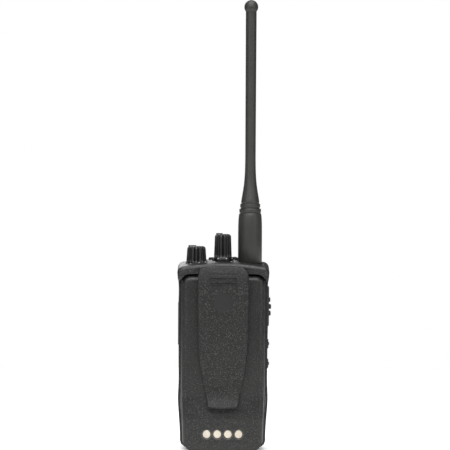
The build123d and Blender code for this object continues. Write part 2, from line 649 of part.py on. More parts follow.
def accessory_socket(height, bore, nose, depth, half):
    """Return a socket body with its nose in the housing and a blind bore along X."""
    with BuildPart() as socket:
        with BuildSketch(Plane.YZ.offset(SOCKET_BACK_X)):
            with Locations((SOCKET_Y, height)):
                Rectangle(2 * half, 2 * half)
        extrude(amount=SOCKET_STEP_X - SOCKET_BACK_X)
        with BuildSketch(Plane.YZ.offset(SOCKET_STEP_X)):
            with Locations((SOCKET_Y, height)):
                Circle(nose)
        extrude(amount=SOCKET_FACE_X - 0.1 - SOCKET_STEP_X)
        with BuildSketch(Plane.YZ.offset(SOCKET_FACE_X - 0.1)):
            with Locations((SOCKET_Y, height)):
                Circle(bore)
        extrude(amount=-depth, mode=Mode.SUBTRACT)
    return socket.part


with BuildPart() as speaker_jack:
    add(accessory_socket(SPEAKER_SOCKET_Z, SPEAKER_SOCKET_RADIUS, 2.95, 12.0, 3.4))
finish(speaker_jack, "speaker_jack")

with BuildPart() as microphone_jack:
    add(accessory_socket(MIC_SOCKET_Z, MIC_SOCKET_RADIUS, 2.45, 11.0, 3.0))
finish(microphone_jack, "microphone_jack")

with BuildPart() as accessory_cover:
    # Flat cover that ends in a round barrel around its pin.
    cover_middle = sum(COVER_X) / 2
    barrel = (COVER_X[1] - COVER_X[0]) / 2
    with BuildSketch(Plane.XY.offset(COVER_Z[0])):
        with Locations((cover_middle, COVER_PIN_Y)):
            Circle(barrel)
        with Locations((cover_middle, (COVER_PIN_Y + COVER_REAR_Y) / 2)):
            Rectangle(2 * barrel, COVER_REAR_Y - COVER_PIN_Y)
        with Locations((cover_middle, COVER_PIN_Y)):
            Circle(COVER_PIN_RADIUS + RUNNING, mode=Mode.SUBTRACT)
    extrude(amount=COVER_Z[1] - COVER_Z[0])
    outer_edges = accessory_cover.faces().sort_by(Axis.X)[-1].edges().filter_by(
        lambda e: e.center().Y > COVER_PIN_Y + 0.5)
    fillet(outer_edges, 0.7)
finish(accessory_cover, "accessory_cover")

with BuildPart() as accessory_cover_pin:
    with BuildSketch(Plane.XY.offset(COVER_Z[0] - 1.5)):
        with Locations((cover_middle, COVER_PIN_Y)):
            Circle(COVER_PIN_RADIUS)
    extrude(amount=COVER_Z[1] - COVER_Z[0] + 3)
finish(accessory_cover_pin, "accessory_cover_pin")

# ---------------------------------------------------------------- boards, shields and chassis

with BuildPart() as main_circuit_board:
    with BuildSketch(axis_plane(0, 0, BOARD_FRONT_Y)):
        with Locations((0, sum(BOARD_Z) / 2)):
            RectangleRounded(2 * BOARD_HALF, BOARD_Z[1] - BOARD_Z[0], 1.5)
        # Notch around the sockets; the plane's own x runs towards -X.
        with Locations((-BOARD_HALF, (SPEAKER_SOCKET_Z + MIC_SOCKET_Z) / 2 + 0.3)):
            Rectangle(2 * (BOARD_HALF - 13.8), 21.4, mode=Mode.SUBTRACT)
        with Locations([(x, z) for x in (-BOARD_SCREW_X, BOARD_SCREW_X) for z in BOARD_SCREW_Z]):
            Circle(SCREW_RADIUS, mode=Mode.SUBTRACT)
    extrude(amount=BOARD_THICKNESS)
finish(main_circuit_board, "main_circuit_board")

BOARD_BACK_Y = BOARD_FRONT_Y + BOARD_THICKNESS


def shield_can(x, z, width, height):
    """Return a drawn shield can that stands on the back of the main board."""
    with BuildPart() as can:
        with BuildSketch(axis_plane(x, z, BOARD_BACK_Y)):
            RectangleRounded(width, height, 1.0)
        extrude(amount=2.2)
        fillet(can.faces().sort_by(Axis.Y)[-1].edges(), 0.4)
        with BuildSketch(axis_plane(x, z, BOARD_BACK_Y)):
            RectangleRounded(width - 0.6, height - 0.6, 0.7)
        extrude(amount=1.9, mode=Mode.SUBTRACT)
    return can.part


with BuildPart() as rf_shield_can:
    add(shield_can(-2.0, 81.0, 26.0, 34.0))
finish(rf_shield_can, "rf_shield_can")

with BuildPart() as audio_shield_can:
    add(shield_can(0.0, 46.0, 30.0, 24.0))
finish(audio_shield_can, "audio_shield_can")


def flat_screw(x, z, head_y, tip_y):
    """Return a flat-headed machine screw along Y."""
    with BuildPart() as screw:
        with BuildSketch(axis_plane(x, z, head_y)):
            Circle(SCREW_HEAD_RADIUS)
        extrude(amount=0.9)
        with BuildSketch(axis_plane(x, z, tip_y)):
            Circle(SCREW_RADIUS)
        extrude(amount=head_y - tip_y)
        with BuildSketch(axis_plane(x, z, head_y + 0.9)):
            Rectangle(2.4, 0.5)
            Rectangle(0.5, 2.4)
        extrude(amount=-0.5, mode=Mode.SUBTRACT)
    return screw.part


with BuildPart() as board_screws:
    for x in (-BOARD_SCREW_X, BOARD_SCREW_X):
        for z in BOARD_SCREW_Z:
            add(flat_screw(x, z, BOARD_BACK_Y, BOARD_FRONT_Y - 4.5))
finish(board_screws, "board_screws")

with BuildPart() as main_seal:
    with BuildSketch(Plane.XZ.offset(-RABBET_Y)):
        add(body_outline(WALL - RABBET_DEPTH + CHASSIS_GAP, CAVITY_FLOOR - RABBET_DEPTH + CHASSIS_GAP,
                         RABBET_TOP - CHASSIS_GAP))
        add(body_outline(WALL + 0.6, CAVITY_FLOOR + 0.6, RABBET_TOP - 1.6), mode=Mode.SUBTRACT)
    extrude(amount=-(CHASSIS_FRONT_Y - RABBET_Y))
    # The seal bends around the screw bosses.
    with BuildSketch(axis_plane(0, 0, RABBET_Y)):
        with Locations([(x, z) for x in (-BOSS_X, BOSS_X) for z in BOSS_Z]):
            Circle(BOSS_RADIUS)
    extrude(amount=CHASSIS_FRONT_Y - RABBET_Y, mode=Mode.SUBTRACT)
finish(main_seal, "main_seal")

with BuildPart() as rear_chassis:
    with BuildSketch(Plane.XZ.offset(-CHASSIS_FRONT_Y)):
        add(body_outline(WALL - RABBET_DEPTH + CHASSIS_GAP, CAVITY_FLOOR - RABBET_DEPTH + CHASSIS_GAP,
                         RABBET_TOP - CHASSIS_GAP))
    extrude(amount=-(CHASSIS_BACK_Y - CHASSIS_FRONT_Y))
    # Closed pockets behind the plate for the battery's hooks.
    hook_reach = HOOK_HEIGHT / 2 + HOOK_PLAY
    for x in (-HOOK_X, HOOK_X):
        for z in HOOK_Z:
            with BuildSketch(axis_plane(x, z - BATTERY_TRAVEL / 2, CHASSIS_FRONT_Y)):
                Rectangle(2 * (HOOK_HEAD + 1.1), 2 * hook_reach + BATTERY_TRAVEL + 1.4)
            extrude(amount=-2.6)
            with BuildSketch(axis_plane(x, z - BATTERY_TRAVEL / 2, CHASSIS_FRONT_Y)):
                Rectangle(2 * (HOOK_HEAD + HOOK_PLAY), 2 * hook_reach + BATTERY_TRAVEL)
            extrude(amount=-1.9, mode=Mode.SUBTRACT)
            # Keyhole: narrow where the hook rests, wide where it lifts out.
            with BuildSketch(axis_plane(x, z - BATTERY_TRAVEL / 2, CHASSIS_FRONT_Y)):
                Rectangle(2 * (HOOK_NECK + HOOK_PLAY), 2 * hook_reach + BATTERY_TRAVEL)
                with Locations((0, -BATTERY_TRAVEL / 2)):
                    Rectangle(2 * (HOOK_HEAD + HOOK_PLAY), 2 * hook_reach)
            extrude(amount=CHASSIS_BACK_Y - CHASSIS_FRONT_Y, mode=Mode.SUBTRACT)
    with BuildSketch(axis_plane(0, TERMINAL_Z, CHASSIS_FRONT_Y)):
        Rectangle(17.4, 6.4)
    extrude(amount=CHASSIS_BACK_Y - CHASSIS_FRONT_Y, mode=Mode.SUBTRACT)
    # Notch for the latch's tongue at the lower edge.
    with BuildSketch(axis_plane(0, LATCH_Z, CHASSIS_FRONT_Y)):
        Rectangle(12.8, 2 * (LATCH_THICKNESS + 0.4))
    extrude(amount=CHASSIS_BACK_Y - CHASSIS_FRONT_Y, mode=Mode.SUBTRACT)
    with BuildSketch(axis_plane(0, 0, CHASSIS_FRONT_Y)):
        with Locations([(x, z) for x in (-BOSS_X, BOSS_X) for z in BOSS_Z]):
            Circle(SCREW_RADIUS)
    extrude(amount=CHASSIS_BACK_Y - CHASSIS_FRONT_Y, mode=Mode.SUBTRACT)
    with BuildSketch(axis_plane(0, 0, CHASSIS_BACK_Y - 1.0)):
        with Locations([(x, z) for x in (-BOSS_X, BOSS_X) for z in BOSS_Z]):
            Circle(SCREW_HEAD_RADIUS + 0.1)
    extrude(amount=1.0, mode=Mode.SUBTRACT)
finish(rear_chassis, "rear_chassis")

with BuildPart() as chassis_screws:
    for x in (-BOSS_X, BOSS_X):
        for z in BOSS_Z:
            add(flat_screw(x, z, CHASSIS_BACK_Y - 1.0, CHASSIS_FRONT_Y - 7.5))
finish(chassis_screws, "chassis_screws")

with BuildPart() as radio_contact_block:
    with BuildSketch(axis_plane(0, TERMINAL_Z, BOARD_BACK_Y)):
        Rectangle(17.0, 6.0)
    extrude(amount=4.8 - BOARD_BACK_Y)
    with BuildSketch(axis_plane(0, TERMINAL_Z, 1.0)):
        with Locations([(x, 0) for x in TERMINAL_X]):
            Rectangle(*CONTACT_BLADE)
    extrude(amount=3.8, mode=Mode.SUBTRACT)
finish(radio_contact_block, "radio_contact_block")

with BuildPart() as radio_contacts:
    with BuildSketch(axis_plane(0, TERMINAL_Z, 1.0)):
        with Locations([(x, 0) for x in TERMINAL_X]):
            Rectangle(*CONTACT_BLADE)
    extrude(amount=4.2)
finish(radio_contacts, "radio_contacts")

# ---------------------------------------------------------------- knobs, switches and antenna


def rotary_switch(x):
    """Return a rotary switch: body under the top wall and a threaded bushing through it."""
    with BuildPart() as switch:
        with BuildSketch(Plane.XY.offset(CEILING_Z - 6.8)):
            with Locations((x, CONTROL_Y)):
                RectangleRounded(10.0, 7.2, 0.5)
        extrude(amount=6.4)
        with BuildSketch(Plane.XY.offset(CEILING_Z - 0.4)):
            with Locations((x, CONTROL_Y)):
                Circle(BUSHING_RADIUS)
        extrude(amount=SEAT_Z + NUT_THICKNESS + 0.4 - CEILING_Z + 0.4)
        with BuildSketch(Plane.XY.offset(SHAFT_LOW - 0.3)):
            with Locations((x, CONTROL_Y)):
                Circle(SHAFT_RADIUS + RUNNING)
        extrude(amount=12, mode=Mode.SUBTRACT)
    return switch.part


def control_shaft(x, top):
    """Return a rotary switch's shaft, with a collar that keeps it in the body."""
    with BuildPart() as shaft:
        with BuildSketch(Plane.XY.offset(SHAFT_LOW)):
            with Locations((x, CONTROL_Y)):
                Circle(SHAFT_RADIUS)
        extrude(amount=top - SHAFT_LOW)
    return shaft.part


def fluted_knob(x, skirt, base, crown, shoulder_z, top, flutes):
    """Return a knob: skirt, tapered fluted grip, rounded crown and a hollow for the nut."""
    low = SEAT_Z + KNOB_LIFT
    with BuildPart() as knob:
        with BuildSketch(turning_plane(x, CONTROL_Y)):
            with BuildLine():
                edge = Polyline((0, low), (skirt, low), (skirt, shoulder_z - 0.5), (base, shoulder_z),
                                (crown + 0.1, top - 2.0))
                dome = TangentArc(edge @ 1, (crown - 1.6, top - 0.35), tangent=edge % 1)
                Polyline(dome @ 1, (0, top), (0, low))
            make_face()
        revolve(axis=Axis((x, CONTROL_Y, 0), (0, 0, 1)))
        # Vertical flutes around the grip.
        with BuildSketch(Plane.XY.offset(shoulder_z + 0.6)):
            with Locations((x, CONTROL_Y)):
                with PolarLocations(crown + 0.55, flutes):
                    Circle(0.8)
        extrude(amount=top - shoulder_z, mode=Mode.SUBTRACT)
        with BuildSketch(Plane.XY.offset(low)):
            with Locations((x, CONTROL_Y)):
                Circle(KNOB_HOLLOW)
        extrude(amount=HOLLOW_TOP - low, mode=Mode.SUBTRACT)
        with BuildSketch(Plane.XY.offset(HOLLOW_TOP)):
            with Locations((x, CONTROL_Y)):
                Circle(SHAFT_RADIUS)
        extrude(amount=top - 3.5 - HOLLOW_TOP, mode=Mode.SUBTRACT)
    return knob.part


with BuildPart() as volume_switch_body:
    add(rotary_switch(VOLUME_X))
finish(volume_switch_body, "volume_switch_body")

with BuildPart() as channel_switch_body:
    add(rotary_switch(CHANNEL_X))
finish(channel_switch_body, "channel_switch_body")

with BuildPart() as volume_shaft:
    add(control_shaft(VOLUME_X, VOLUME_TOP - SHAFT_COVER))
finish(volume_shaft, "volume_shaft")

with BuildPart() as channel_shaft:
    add(control_shaft(CHANNEL_X, CHANNEL_TOP - SHAFT_COVER))
finish(channel_shaft, "channel_shaft")

with BuildPart() as volume_knob:
    add(fluted_knob(VOLUME_X, *VOLUME_RADII, VOLUME_SHOULDER, VOLUME_TOP, VOLUME_FLUTES))
finish(volume_knob, "volume_knob")

with BuildPart() as channel_knob:
    add(fluted_knob(CHANNEL_X, *CHANNEL_RADII, CHANNEL_SHOULDER, CHANNEL_TOP, CHANNEL_FLUTES))
finish(channel_knob, "channel_knob")

with BuildPart() as control_nuts:
    with BuildSketch(Plane.XY.offset(SEAT_Z)):
        with Locations((VOLUME_X, CONTROL_Y), (CHANNEL_X, CONTROL_Y)):
            RegularPolygon(NUT_RADIUS, 6)
            Circle(BUSHING_RADIUS, mode=Mode.SUBTRACT)
    extrude(amount=NUT_THICKNESS)
finish(control_nuts, "control_nuts")

with BuildPart() as control_seals:
    with BuildSketch(Plane.XY.offset(CEILING_Z - 0.4)):
        with Locations((VOLUME_X, CONTROL_Y), (CHANNEL_X, CONTROL_Y)):
            Circle(3.5)
            Circle(BUSHING_RADIUS, mode=Mode.SUBTRACT)
    extrude(amount=0.4)
finish(control_seals, "control_seals")

with BuildPart() as antenna_bushing:
    with BuildSketch(turning_plane(ANTENNA_X, CONTROL_Y)):
        Polygon((STUD_RADIUS, 116.4), (4.2, 116.4), (4.2, CEILING_Z - 1.4), (6.0, CEILING_Z - 1.4),
                (6.0, CEILING_Z), (4.75, CEILING_Z), (4.75, SEAT_Z), (STUD_RADIUS, SEAT_Z), align=None)
    revolve(axis=Axis((ANTENNA_X, CONTROL_Y, 0), (0, 0, 1)))
finish(antenna_bushing, "antenna_bushing")

with BuildPart() as antenna_stud:
    with BuildSketch(turning_plane(ANTENNA_X, CONTROL_Y)):
        Polygon((0, 116.8), (2.6, 116.8), (STUD_RADIUS, 117.3), (STUD_RADIUS, STUD_TOP), (0, STUD_TOP),
                align=None)
    revolve(axis=Axis((ANTENNA_X, CONTROL_Y, 0), (0, 0, 1)))
finish(antenna_stud, "antenna_stud")

with BuildPart() as antenna_whip:
    # Stud sleeve, two rings, flare, long whip and ball tip, moulded in one.
    (lower_ring, lower_low, lower_high), (upper_ring, upper_low, upper_high) = ANTENNA_RINGS
    neck = ANTENNA_FLARE[-1]
    ball_low = ANTENNA_BALL_Z - sqrt(ANTENNA_BALL ** 2 - neck[0] ** 2)
    with BuildSketch(turning_plane(ANTENNA_X, CONTROL_Y)):
        with BuildLine():
            foot = Polyline((STUD_RADIUS, SEAT_Z + 0.05), (ANTENNA_SLEEVE - 0.3, SEAT_Z + 0.05),
                            (ANTENNA_SLEEVE, SEAT_Z + 0.8), (ANTENNA_SLEEVE, 151.5),
                            (ANTENNA_SLEEVE - 0.5, ANTENNA_SLEEVE_TOP - 0.4),
                            (ANTENNA_SLEEVE - 0.9, ANTENNA_SLEEVE_TOP),
                            (lower_ring - 0.6, ANTENNA_SLEEVE_TOP), (lower_ring - 0.6, lower_low),
                            (lower_ring, lower_low + 0.4), (lower_ring, lower_high - 0.4),
                            (lower_ring - 0.4, lower_high), (upper_ring - 0.6, lower_high),
                            (upper_ring - 0.6, upper_low), (upper_ring, upper_low + 0.4),
                            (upper_ring, upper_high - 0.4), (upper_ring - 0.4, upper_high),
                            (ANTENNA_FLARE[0][0] - 0.5, upper_high), (ANTENNA_FLARE[0][0] - 0.5, 163.9),
                            ANTENNA_FLARE[0])
            flare = Spline(*ANTENNA_FLARE[:-1])
            whip = Line(flare @ 1, (neck[0], ball_low))
            ball = ThreePointArc(whip @ 1, (ANTENNA_BALL, ANTENNA_BALL_Z),
                                 (0, ANTENNA_BALL_Z + ANTENNA_BALL))
            Polyline(ball @ 1, (0, STUD_TOP), (STUD_RADIUS, STUD_TOP), foot @ 0)
        make_face()
    revolve(axis=Axis((ANTENNA_X, CONTROL_Y, 0), (0, 0, 1)))
finish(antenna_whip, "antenna_whip")

# ---------------------------------------------------------------- battery


def battery_side(inset, floor, top):
    """Return the battery's side profile: the lower rear bulges out past the upper."""
    with BuildSketch() as profile:
        Polygon((0, floor), (15.4 - inset, floor), (17.9 - inset, 2.6 + inset),
                (BATTERY_THICK - inset, 6.0),
                (BATTERY_THICK - inset, RAMP_Z[0]), (BATTERY_BACK - inset,
                                                     RAMP_Z[1]), (BATTERY_BACK - inset, top),
                (0, top), align=None)
    return profile.sketch


def cut_latch_room():
    """Return the hollow of the latch: room for its plate and the slot for its thumb pad."""
    with BuildPart() as room:
        with BuildSketch(Plane.XY.offset(BATTERY_FLOOR)):
            with Locations((0, (BATTERY_FRONT + LATCH_ROOM[1]) / 2)):
                Rectangle(LATCH_ROOM[0], LATCH_ROOM[1] - BATTERY_FRONT)
        extrude(amount=LATCH_THICKNESS + 0.5)
        with BuildSketch(Plane.XY.offset(-1)):
            with Locations((0, (LATCH_SLOT[1] + LATCH_SLOT[2]) / 2)):
                Rectangle(LATCH_SLOT[0], LATCH_SLOT[2] - LATCH_SLOT[1])
        extrude(amount=BATTERY_FLOOR + 1.2)
    return room.part


with BuildPart() as battery_case:
    with BuildSketch(Plane.XZ.offset(-BATTERY_SPLIT)):
        add(battery_outline(CASE_INSET, 0, BATTERY_TOP, BATTERY_CORNER))
    extrude(amount=-20)
    with BuildSketch(Plane.YZ.offset(-REACH)):
        add(battery_side(0, 0, BATTERY_TOP))
    extrude(amount=2 * REACH, mode=Mode.INTERSECT)
    rear_rim = battery_case.edges().filter_by(
        lambda e: e.bounding_box().min.Y > BATTERY_BACK - 0.1 and e.center().Z > 7
        and (abs(e.center().X) > 15 or e.center().Z > 100))
    fillet(rear_rim, BATTERY_EDGE)
    # Hollow for the cells, the latch's room and the holes of the charging contacts.
    with BuildSketch(Plane.XZ.offset(-BATTERY_SPLIT)):
        add(battery_outline(CASE_INSET + CASE_WALL, BATTERY_FLOOR, BATTERY_TOP - CASE_INSET - 3.2,
                            BATTERY_CORNER - 2))
    extrude(amount=-(BATTERY_BACK - CASE_WALL - BATTERY_SPLIT), mode=Mode.SUBTRACT)
    add(cut_latch_room(), mode=Mode.SUBTRACT)
    contact_places = [((i - 1.5) * CONTACT_PITCH, 0) for i in range(4)]
    with BuildSketch(axis_plane(0, CONTACT_Z, BATTERY_SPLIT + 2)):
        with Locations(contact_places):
            Circle(CONTACT_RADIUS + 0.25)
    extrude(amount=12, mode=Mode.SUBTRACT)
    contact_rims = battery_case.edges().filter_by(GeomType.CIRCLE).filter_by(
        lambda e: e.center().Y > BATTERY_THICK - 0.1 and abs(e.center().Z - CONTACT_Z) < 0.1)
    chamfer(contact_rims, 0.4)
finish(battery_case, "battery_case")

with BuildPart() as battery_inner_cover:
    with BuildSketch(Plane.XZ.offset(-BATTERY_FRONT)):
        add(battery_outline(0, 0, BATTERY_TOP, BATTERY_CORNER))
    extrude(amount=-(BATTERY_SPLIT - BATTERY_FRONT))
    fillet(battery_inner_cover.faces().sort_by(Axis.Y)[-1].edges().filter_by(lambda e: e.center().Z > 8), 0.3)
    with BuildSketch(Plane.XZ.offset(-BATTERY_FRONT - CASE_WALL)):
        add(battery_outline(CASE_INSET + CASE_WALL, BATTERY_FLOOR, BATTERY_TOP - CASE_INSET - 1.6,
                            BATTERY_CORNER - 2))
    extrude(amount=-6, mode=Mode.SUBTRACT)
    add(cut_latch_room(), mode=Mode.SUBTRACT)
    with BuildSketch(axis_plane(0, TERMINAL_Z, BATTERY_FRONT)):
        with Locations([(x, 0) for x in TERMINAL_X]):
            Rectangle(*TERMINAL_PAD)
    extrude(amount=1.0, mode=Mode.SUBTRACT)
    # Hooks: a neck through the chassis and a head behind it.
    for x in (-HOOK_X, HOOK_X):
        for z in HOOK_Z:
            with BuildSketch(axis_plane(x, z, CHASSIS_FRONT_Y - HOOK_PLAY)):
                Rectangle(2 * HOOK_NECK, HOOK_HEIGHT)
            extrude(amount=BATTERY_FRONT - CHASSIS_FRONT_Y + HOOK_PLAY)
            with BuildSketch(axis_plane(x, z, CHASSIS_FRONT_Y - HOOK_PLAY)):
                Rectangle(2 * HOOK_HEAD, HOOK_HEIGHT)
            extrude(amount=-1.1)
finish(battery_inner_cover, "battery_inner_cover")

with BuildPart() as battery_terminals:
    with BuildSketch(axis_plane(0, TERMINAL_Z, BATTERY_FRONT + 0.15)):
        with Locations([(x, 0) for x in TERMINAL_X]):
            Rectangle(*TERMINAL_PAD)
    extrude(amount=0.85)
finish(battery_terminals, "battery_terminals")

with BuildPart() as battery_cells:
    # Two flat lithium cells, one above the other.
    for cell_z in CELL_Z:
        with BuildSketch(axis_plane(0, cell_z, BATTERY_FRONT + CASE_WALL + 0.5)):
            RectangleRounded(CELL_SIZE[0], CELL_SIZE[1], 3.0)
        extrude(amount=CELL_SIZE[2])
    fillet(battery_cells.edges().filter_by(Axis.Y, reverse=True), 1.2)
finish(battery_cells, "battery_cells")

with BuildPart() as battery_board:
    with BuildSketch(axis_plane(0, CONTACT_Z + 0.3, PIN_ROOT_Y - 0.9)):
        RectangleRounded(40.0, 9.0, 1.0)
    extrude(amount=0.9)
finish(battery_board, "battery_board")

with BuildPart() as charging_contacts:
    with BuildSketch(axis_plane(0, CONTACT_Z, BATTERY_THICK - 2.2)):
        with Locations(contact_places):
            Circle(CONTACT_RADIUS)
    extrude(amount=1.5)
    fillet(charging_contacts.faces().sort_by(Axis.Y)[-4:].edges(), 0.3)
    with BuildSketch(axis_plane(0, CONTACT_Z, PIN_ROOT_Y)):
        with Locations(contact_places):
            Circle(0.9)
    extrude(amount=BATTERY_THICK - 2.2 - PIN_ROOT_Y)
finish(charging_contacts, "charging_contacts")

with BuildPart() as battery_latch:
    # Sliding plate with a narrower tongue in front and a ridged thumb pad below.
    with BuildSketch(Plane.XY.offset(LATCH_Z)):
        Polygon((-8, 13.2), (-8, 7.8), (-6, 7.8), (-6, BATTERY_FRONT + 0.1), (6, BATTERY_FRONT + 0.1),
                (6, 7.8),
                (8, 7.8), (8, 13.2), align=None)
    extrude(amount=LATCH_THICKNESS)
    with BuildSketch(Plane.XY.offset(0.6)):
        with Locations((0, 10.5)):
            RectangleRounded(14.0, 4.4, 0.8)
    extrude(amount=LATCH_Z - 0.6)
    with BuildSketch(Plane.XY.offset(0.6)):
        with Locations([(0, 10.5 + step) for step in (-1.2, 0, 1.2)]):
            Rectangle(12.0, 0.5)
    extrude(amount=0.4, mode=Mode.SUBTRACT)
finish(battery_latch, "battery_latch")

# ---------------------------------------------------------------- belt clip

with BuildPart() as clip_base:
    with BuildSketch(axis_plane(0, 101.0, BATTERY_BACK + 0.02)):
        RectangleRounded(25.0, 20.0, 2.0)
    extrude(amount=1.6)
    for side in (-1, 1):
        with BuildSketch(Plane.YZ.offset(side * CLIP_EAR_X - CLIP_EAR_WIDTH / 2)):
            add(hull_of(CLIP_KNUCKLE, CLIP_PIN_Y, CLIP_PIN_Z, BATTERY_BACK + 1.4, CLIP_ROOT_HALF))
        extrude(amount=CLIP_EAR_WIDTH)
    with BuildSketch(Plane.YZ.offset(-14)):
        with Locations((CLIP_PIN_Y, CLIP_PIN_Z)):
            Circle(CLIP_PIN_RADIUS)
    extrude(amount=28, mode=Mode.SUBTRACT)
finish(clip_base, "clip_base")

with BuildPart() as clip_pin:
    with BuildSketch(Plane.YZ.offset(-12.6)):
        with Locations((CLIP_PIN_Y, CLIP_PIN_Z)):
            Circle(CLIP_PIN_RADIUS)
    extrude(amount=25.2)
finish(clip_pin, "clip_pin")

with BuildPart() as clip_spring:
    # Torsion spring around the pin, its two legs short of the lever.
    spring_turns = 9
    spring_radius = CLIP_PIN_RADIUS + SPRING_GAP
    spring_start = -spring_turns * SPRING_PITCH / 2
    with BuildLine():
        coil = Helix(pitch=SPRING_PITCH, height=spring_turns * SPRING_PITCH, radius=spring_radius,
                     center=(spring_start, CLIP_PIN_Y, CLIP_PIN_Z), direction=(1, 0, 0))
    with BuildSketch(Plane(origin=coil @ 0, z_dir=coil % 0)):
        Circle(WIRE_RADIUS)
    sweep(path=coil, is_frenet=True)
finish(clip_spring, "clip_spring")

with BuildPart() as clip_outline:
    # The lever's outline seen from the back: arched top, tapering sides, slightly round tip.
    with BuildSketch(Plane.XZ.offset(-15)):
        with BuildLine():
            top_half = CLIP_HALF[0][0]
            crest = ThreePointArc((-top_half, CLIP_SIDE_TOP_Z), (0, CLIP_CREST_Z),
                                  (top_half, CLIP_SIDE_TOP_Z))
            right = Spline(crest @ 1, *CLIP_HALF, (CLIP_TIP_HALF, CLIP_LOW_Z + 0.5))
            tip = ThreePointArc(right @ 1, (0, CLIP_LOW_Z), (-CLIP_TIP_HALF, CLIP_LOW_Z + 0.5))
            left = Spline(crest @ 0, *[(-half, height) for half, height in CLIP_HALF], tip @ 1)
        make_face()
    extrude(amount=-20)
    fillet(clip_outline.edges().filter_by(Axis.Y).filter_by(lambda e: e.center().Z > 100), 5.5)
    fillet(clip_outline.edges().filter_by(Axis.Y).filter_by(lambda e: e.center().Z < 40), 2.0)

with BuildPart() as clip_lever:
    # The lever's side profile: thumb end, straight back, inward sweep and turned-out tip.
    with BuildSketch(Plane.YZ.offset(-20)):
        with BuildLine():
            outer = Spline(*CLIP_OUTER)
            inner = Spline(*CLIP_INNER)
            Polyline(inner @ 1, (CLIP_FACE_Y, 92), (CLIP_FACE_Y, 116), (23.6, 123.2), outer @ 0)
            Line(outer @ 1, inner @ 0)
        make_face()
    extrude(amount=40)
    add(clip_outline.part, mode=Mode.INTERSECT)
    outer_rim = clip_lever.faces().filter_by(lambda f: f.center().Y > 24 and f.area > 2000)[0].edges()
    fillet(outer_rim, CLIP_EDGE)
    # Three thumb grooves and the shallow seat of the blank disc.
    for groove_z, groove_half in zip(GROOVE_Z, GROOVE_HALF):
        with BuildSketch(Plane.YZ.offset(-groove_half)):
            with Locations((CLIP_OUTER[2][0], groove_z)):
                Circle(GROOVE_RADIUS)
        extrude(amount=2 * groove_half, mode=Mode.SUBTRACT)
    with BuildSketch(axis_plane(0, DISC_Z, DISC_SEAT_Y)):
        Circle(DISC_RADIUS)
    extrude(amount=3, mode=Mode.SUBTRACT)
    # Ribs that carry the lever on the pin.
    for side in (-1, 1):
        with BuildSketch(Plane.YZ.offset(side * CLIP_RIB_X - CLIP_EAR_WIDTH / 2)):
            add(hull_of(CLIP_KNUCKLE, CLIP_PIN_Y, CLIP_PIN_Z, CLIP_FACE_Y + 0.3, CLIP_ROOT_HALF))
        extrude(amount=CLIP_EAR_WIDTH)
    with BuildSketch(Plane.YZ.offset(-11)):
        with Locations((CLIP_PIN_Y, CLIP_PIN_Z)):
            Circle(CLIP_PIN_RADIUS + RUNNING)
    extrude(amount=22, mode=Mode.SUBTRACT)
finish(clip_lever, "clip_lever")

with BuildPart() as clip_disc:
    with BuildSketch(axis_plane(0, DISC_Z, DISC_SEAT_Y)):
        Circle(DISC_RADIUS - 0.05)
    extrude(amount=DISC_THICKNESS)
    fillet(clip_disc.faces().sort_by(Axis.Y)[-1].edges(), 0.15)
finish(clip_disc, "clip_disc")
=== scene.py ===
"""Looks of a handheld two way radio: finishes, knobs, antenna, painted marks, light and camera.

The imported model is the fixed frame, in metres, +Z up. The battery and its belt clip face +Y,
the push-to-talk side faces -X and the accessory sockets face +X.
"""
import logging
import math
from collections.abc import Callable
from dataclasses import dataclass
from enum import Enum

import bmesh
import bpy
from mathutils import Matrix, Vector


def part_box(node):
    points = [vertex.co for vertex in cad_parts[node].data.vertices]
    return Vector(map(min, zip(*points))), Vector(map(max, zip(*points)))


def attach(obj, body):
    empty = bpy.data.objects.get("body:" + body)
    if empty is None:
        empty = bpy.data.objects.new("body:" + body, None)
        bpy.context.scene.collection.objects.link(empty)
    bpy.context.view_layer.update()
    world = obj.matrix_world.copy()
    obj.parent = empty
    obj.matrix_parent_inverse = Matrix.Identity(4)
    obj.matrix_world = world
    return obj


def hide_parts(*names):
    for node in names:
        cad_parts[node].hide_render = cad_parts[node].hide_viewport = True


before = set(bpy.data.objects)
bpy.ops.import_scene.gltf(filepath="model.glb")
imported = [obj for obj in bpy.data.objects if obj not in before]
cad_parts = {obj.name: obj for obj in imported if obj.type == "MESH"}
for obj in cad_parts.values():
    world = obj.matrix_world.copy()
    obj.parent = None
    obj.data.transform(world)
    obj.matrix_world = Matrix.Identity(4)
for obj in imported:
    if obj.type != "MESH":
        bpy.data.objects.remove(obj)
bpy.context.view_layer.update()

MM = 0.001
FULL_TURN = 2 * math.pi
logging.basicConfig(level=logging.INFO, format="%(message)s")
log = logging.getLogger("radio")


# ---------------------------------------------------------------- colours and nodes

def linear(colour: str) -> tuple[float, float, float, float]:
    """Turn an sRGB hex colour into the linear colour that the shaders work in.

    Args:
        colour: six hex digits.

    Returns:
        Red, green, blue and an alpha of one.
    """
    channels = [int(colour[i:i + 2], 16) / 255 for i in (0, 2, 4)]
    return (*[c / 12.92 if c <= 0.04045 else ((c + 0.055) / 1.055) ** 2.4 for c in channels], 1.0)


def add_node(tree: bpy.types.NodeTree, kind: str, inputs: dict | None = None,
             **settings: str) -> bpy.types.Node:
    """Add a node with its settings, its values and its links.

    Args:
        tree: the node tree that gets the node.
        kind: the node's type name.
        inputs: for each input, by name or place, a number, a colour or the output it is linked to.
        **settings: the node's own properties, such as operation.

    Returns:
        The new node.
    """
    node = tree.nodes.new(kind)
    for key, value in settings.items():
        setattr(node, key, value)
    for key, value in (inputs or {}).items():
        if isinstance(value, bpy.types.NodeSocket):
            tree.links.new(value, node.inputs[key])
        else:
            node.inputs[key].default_value = value
    return node


# ---------------------------------------------------------------- finishes

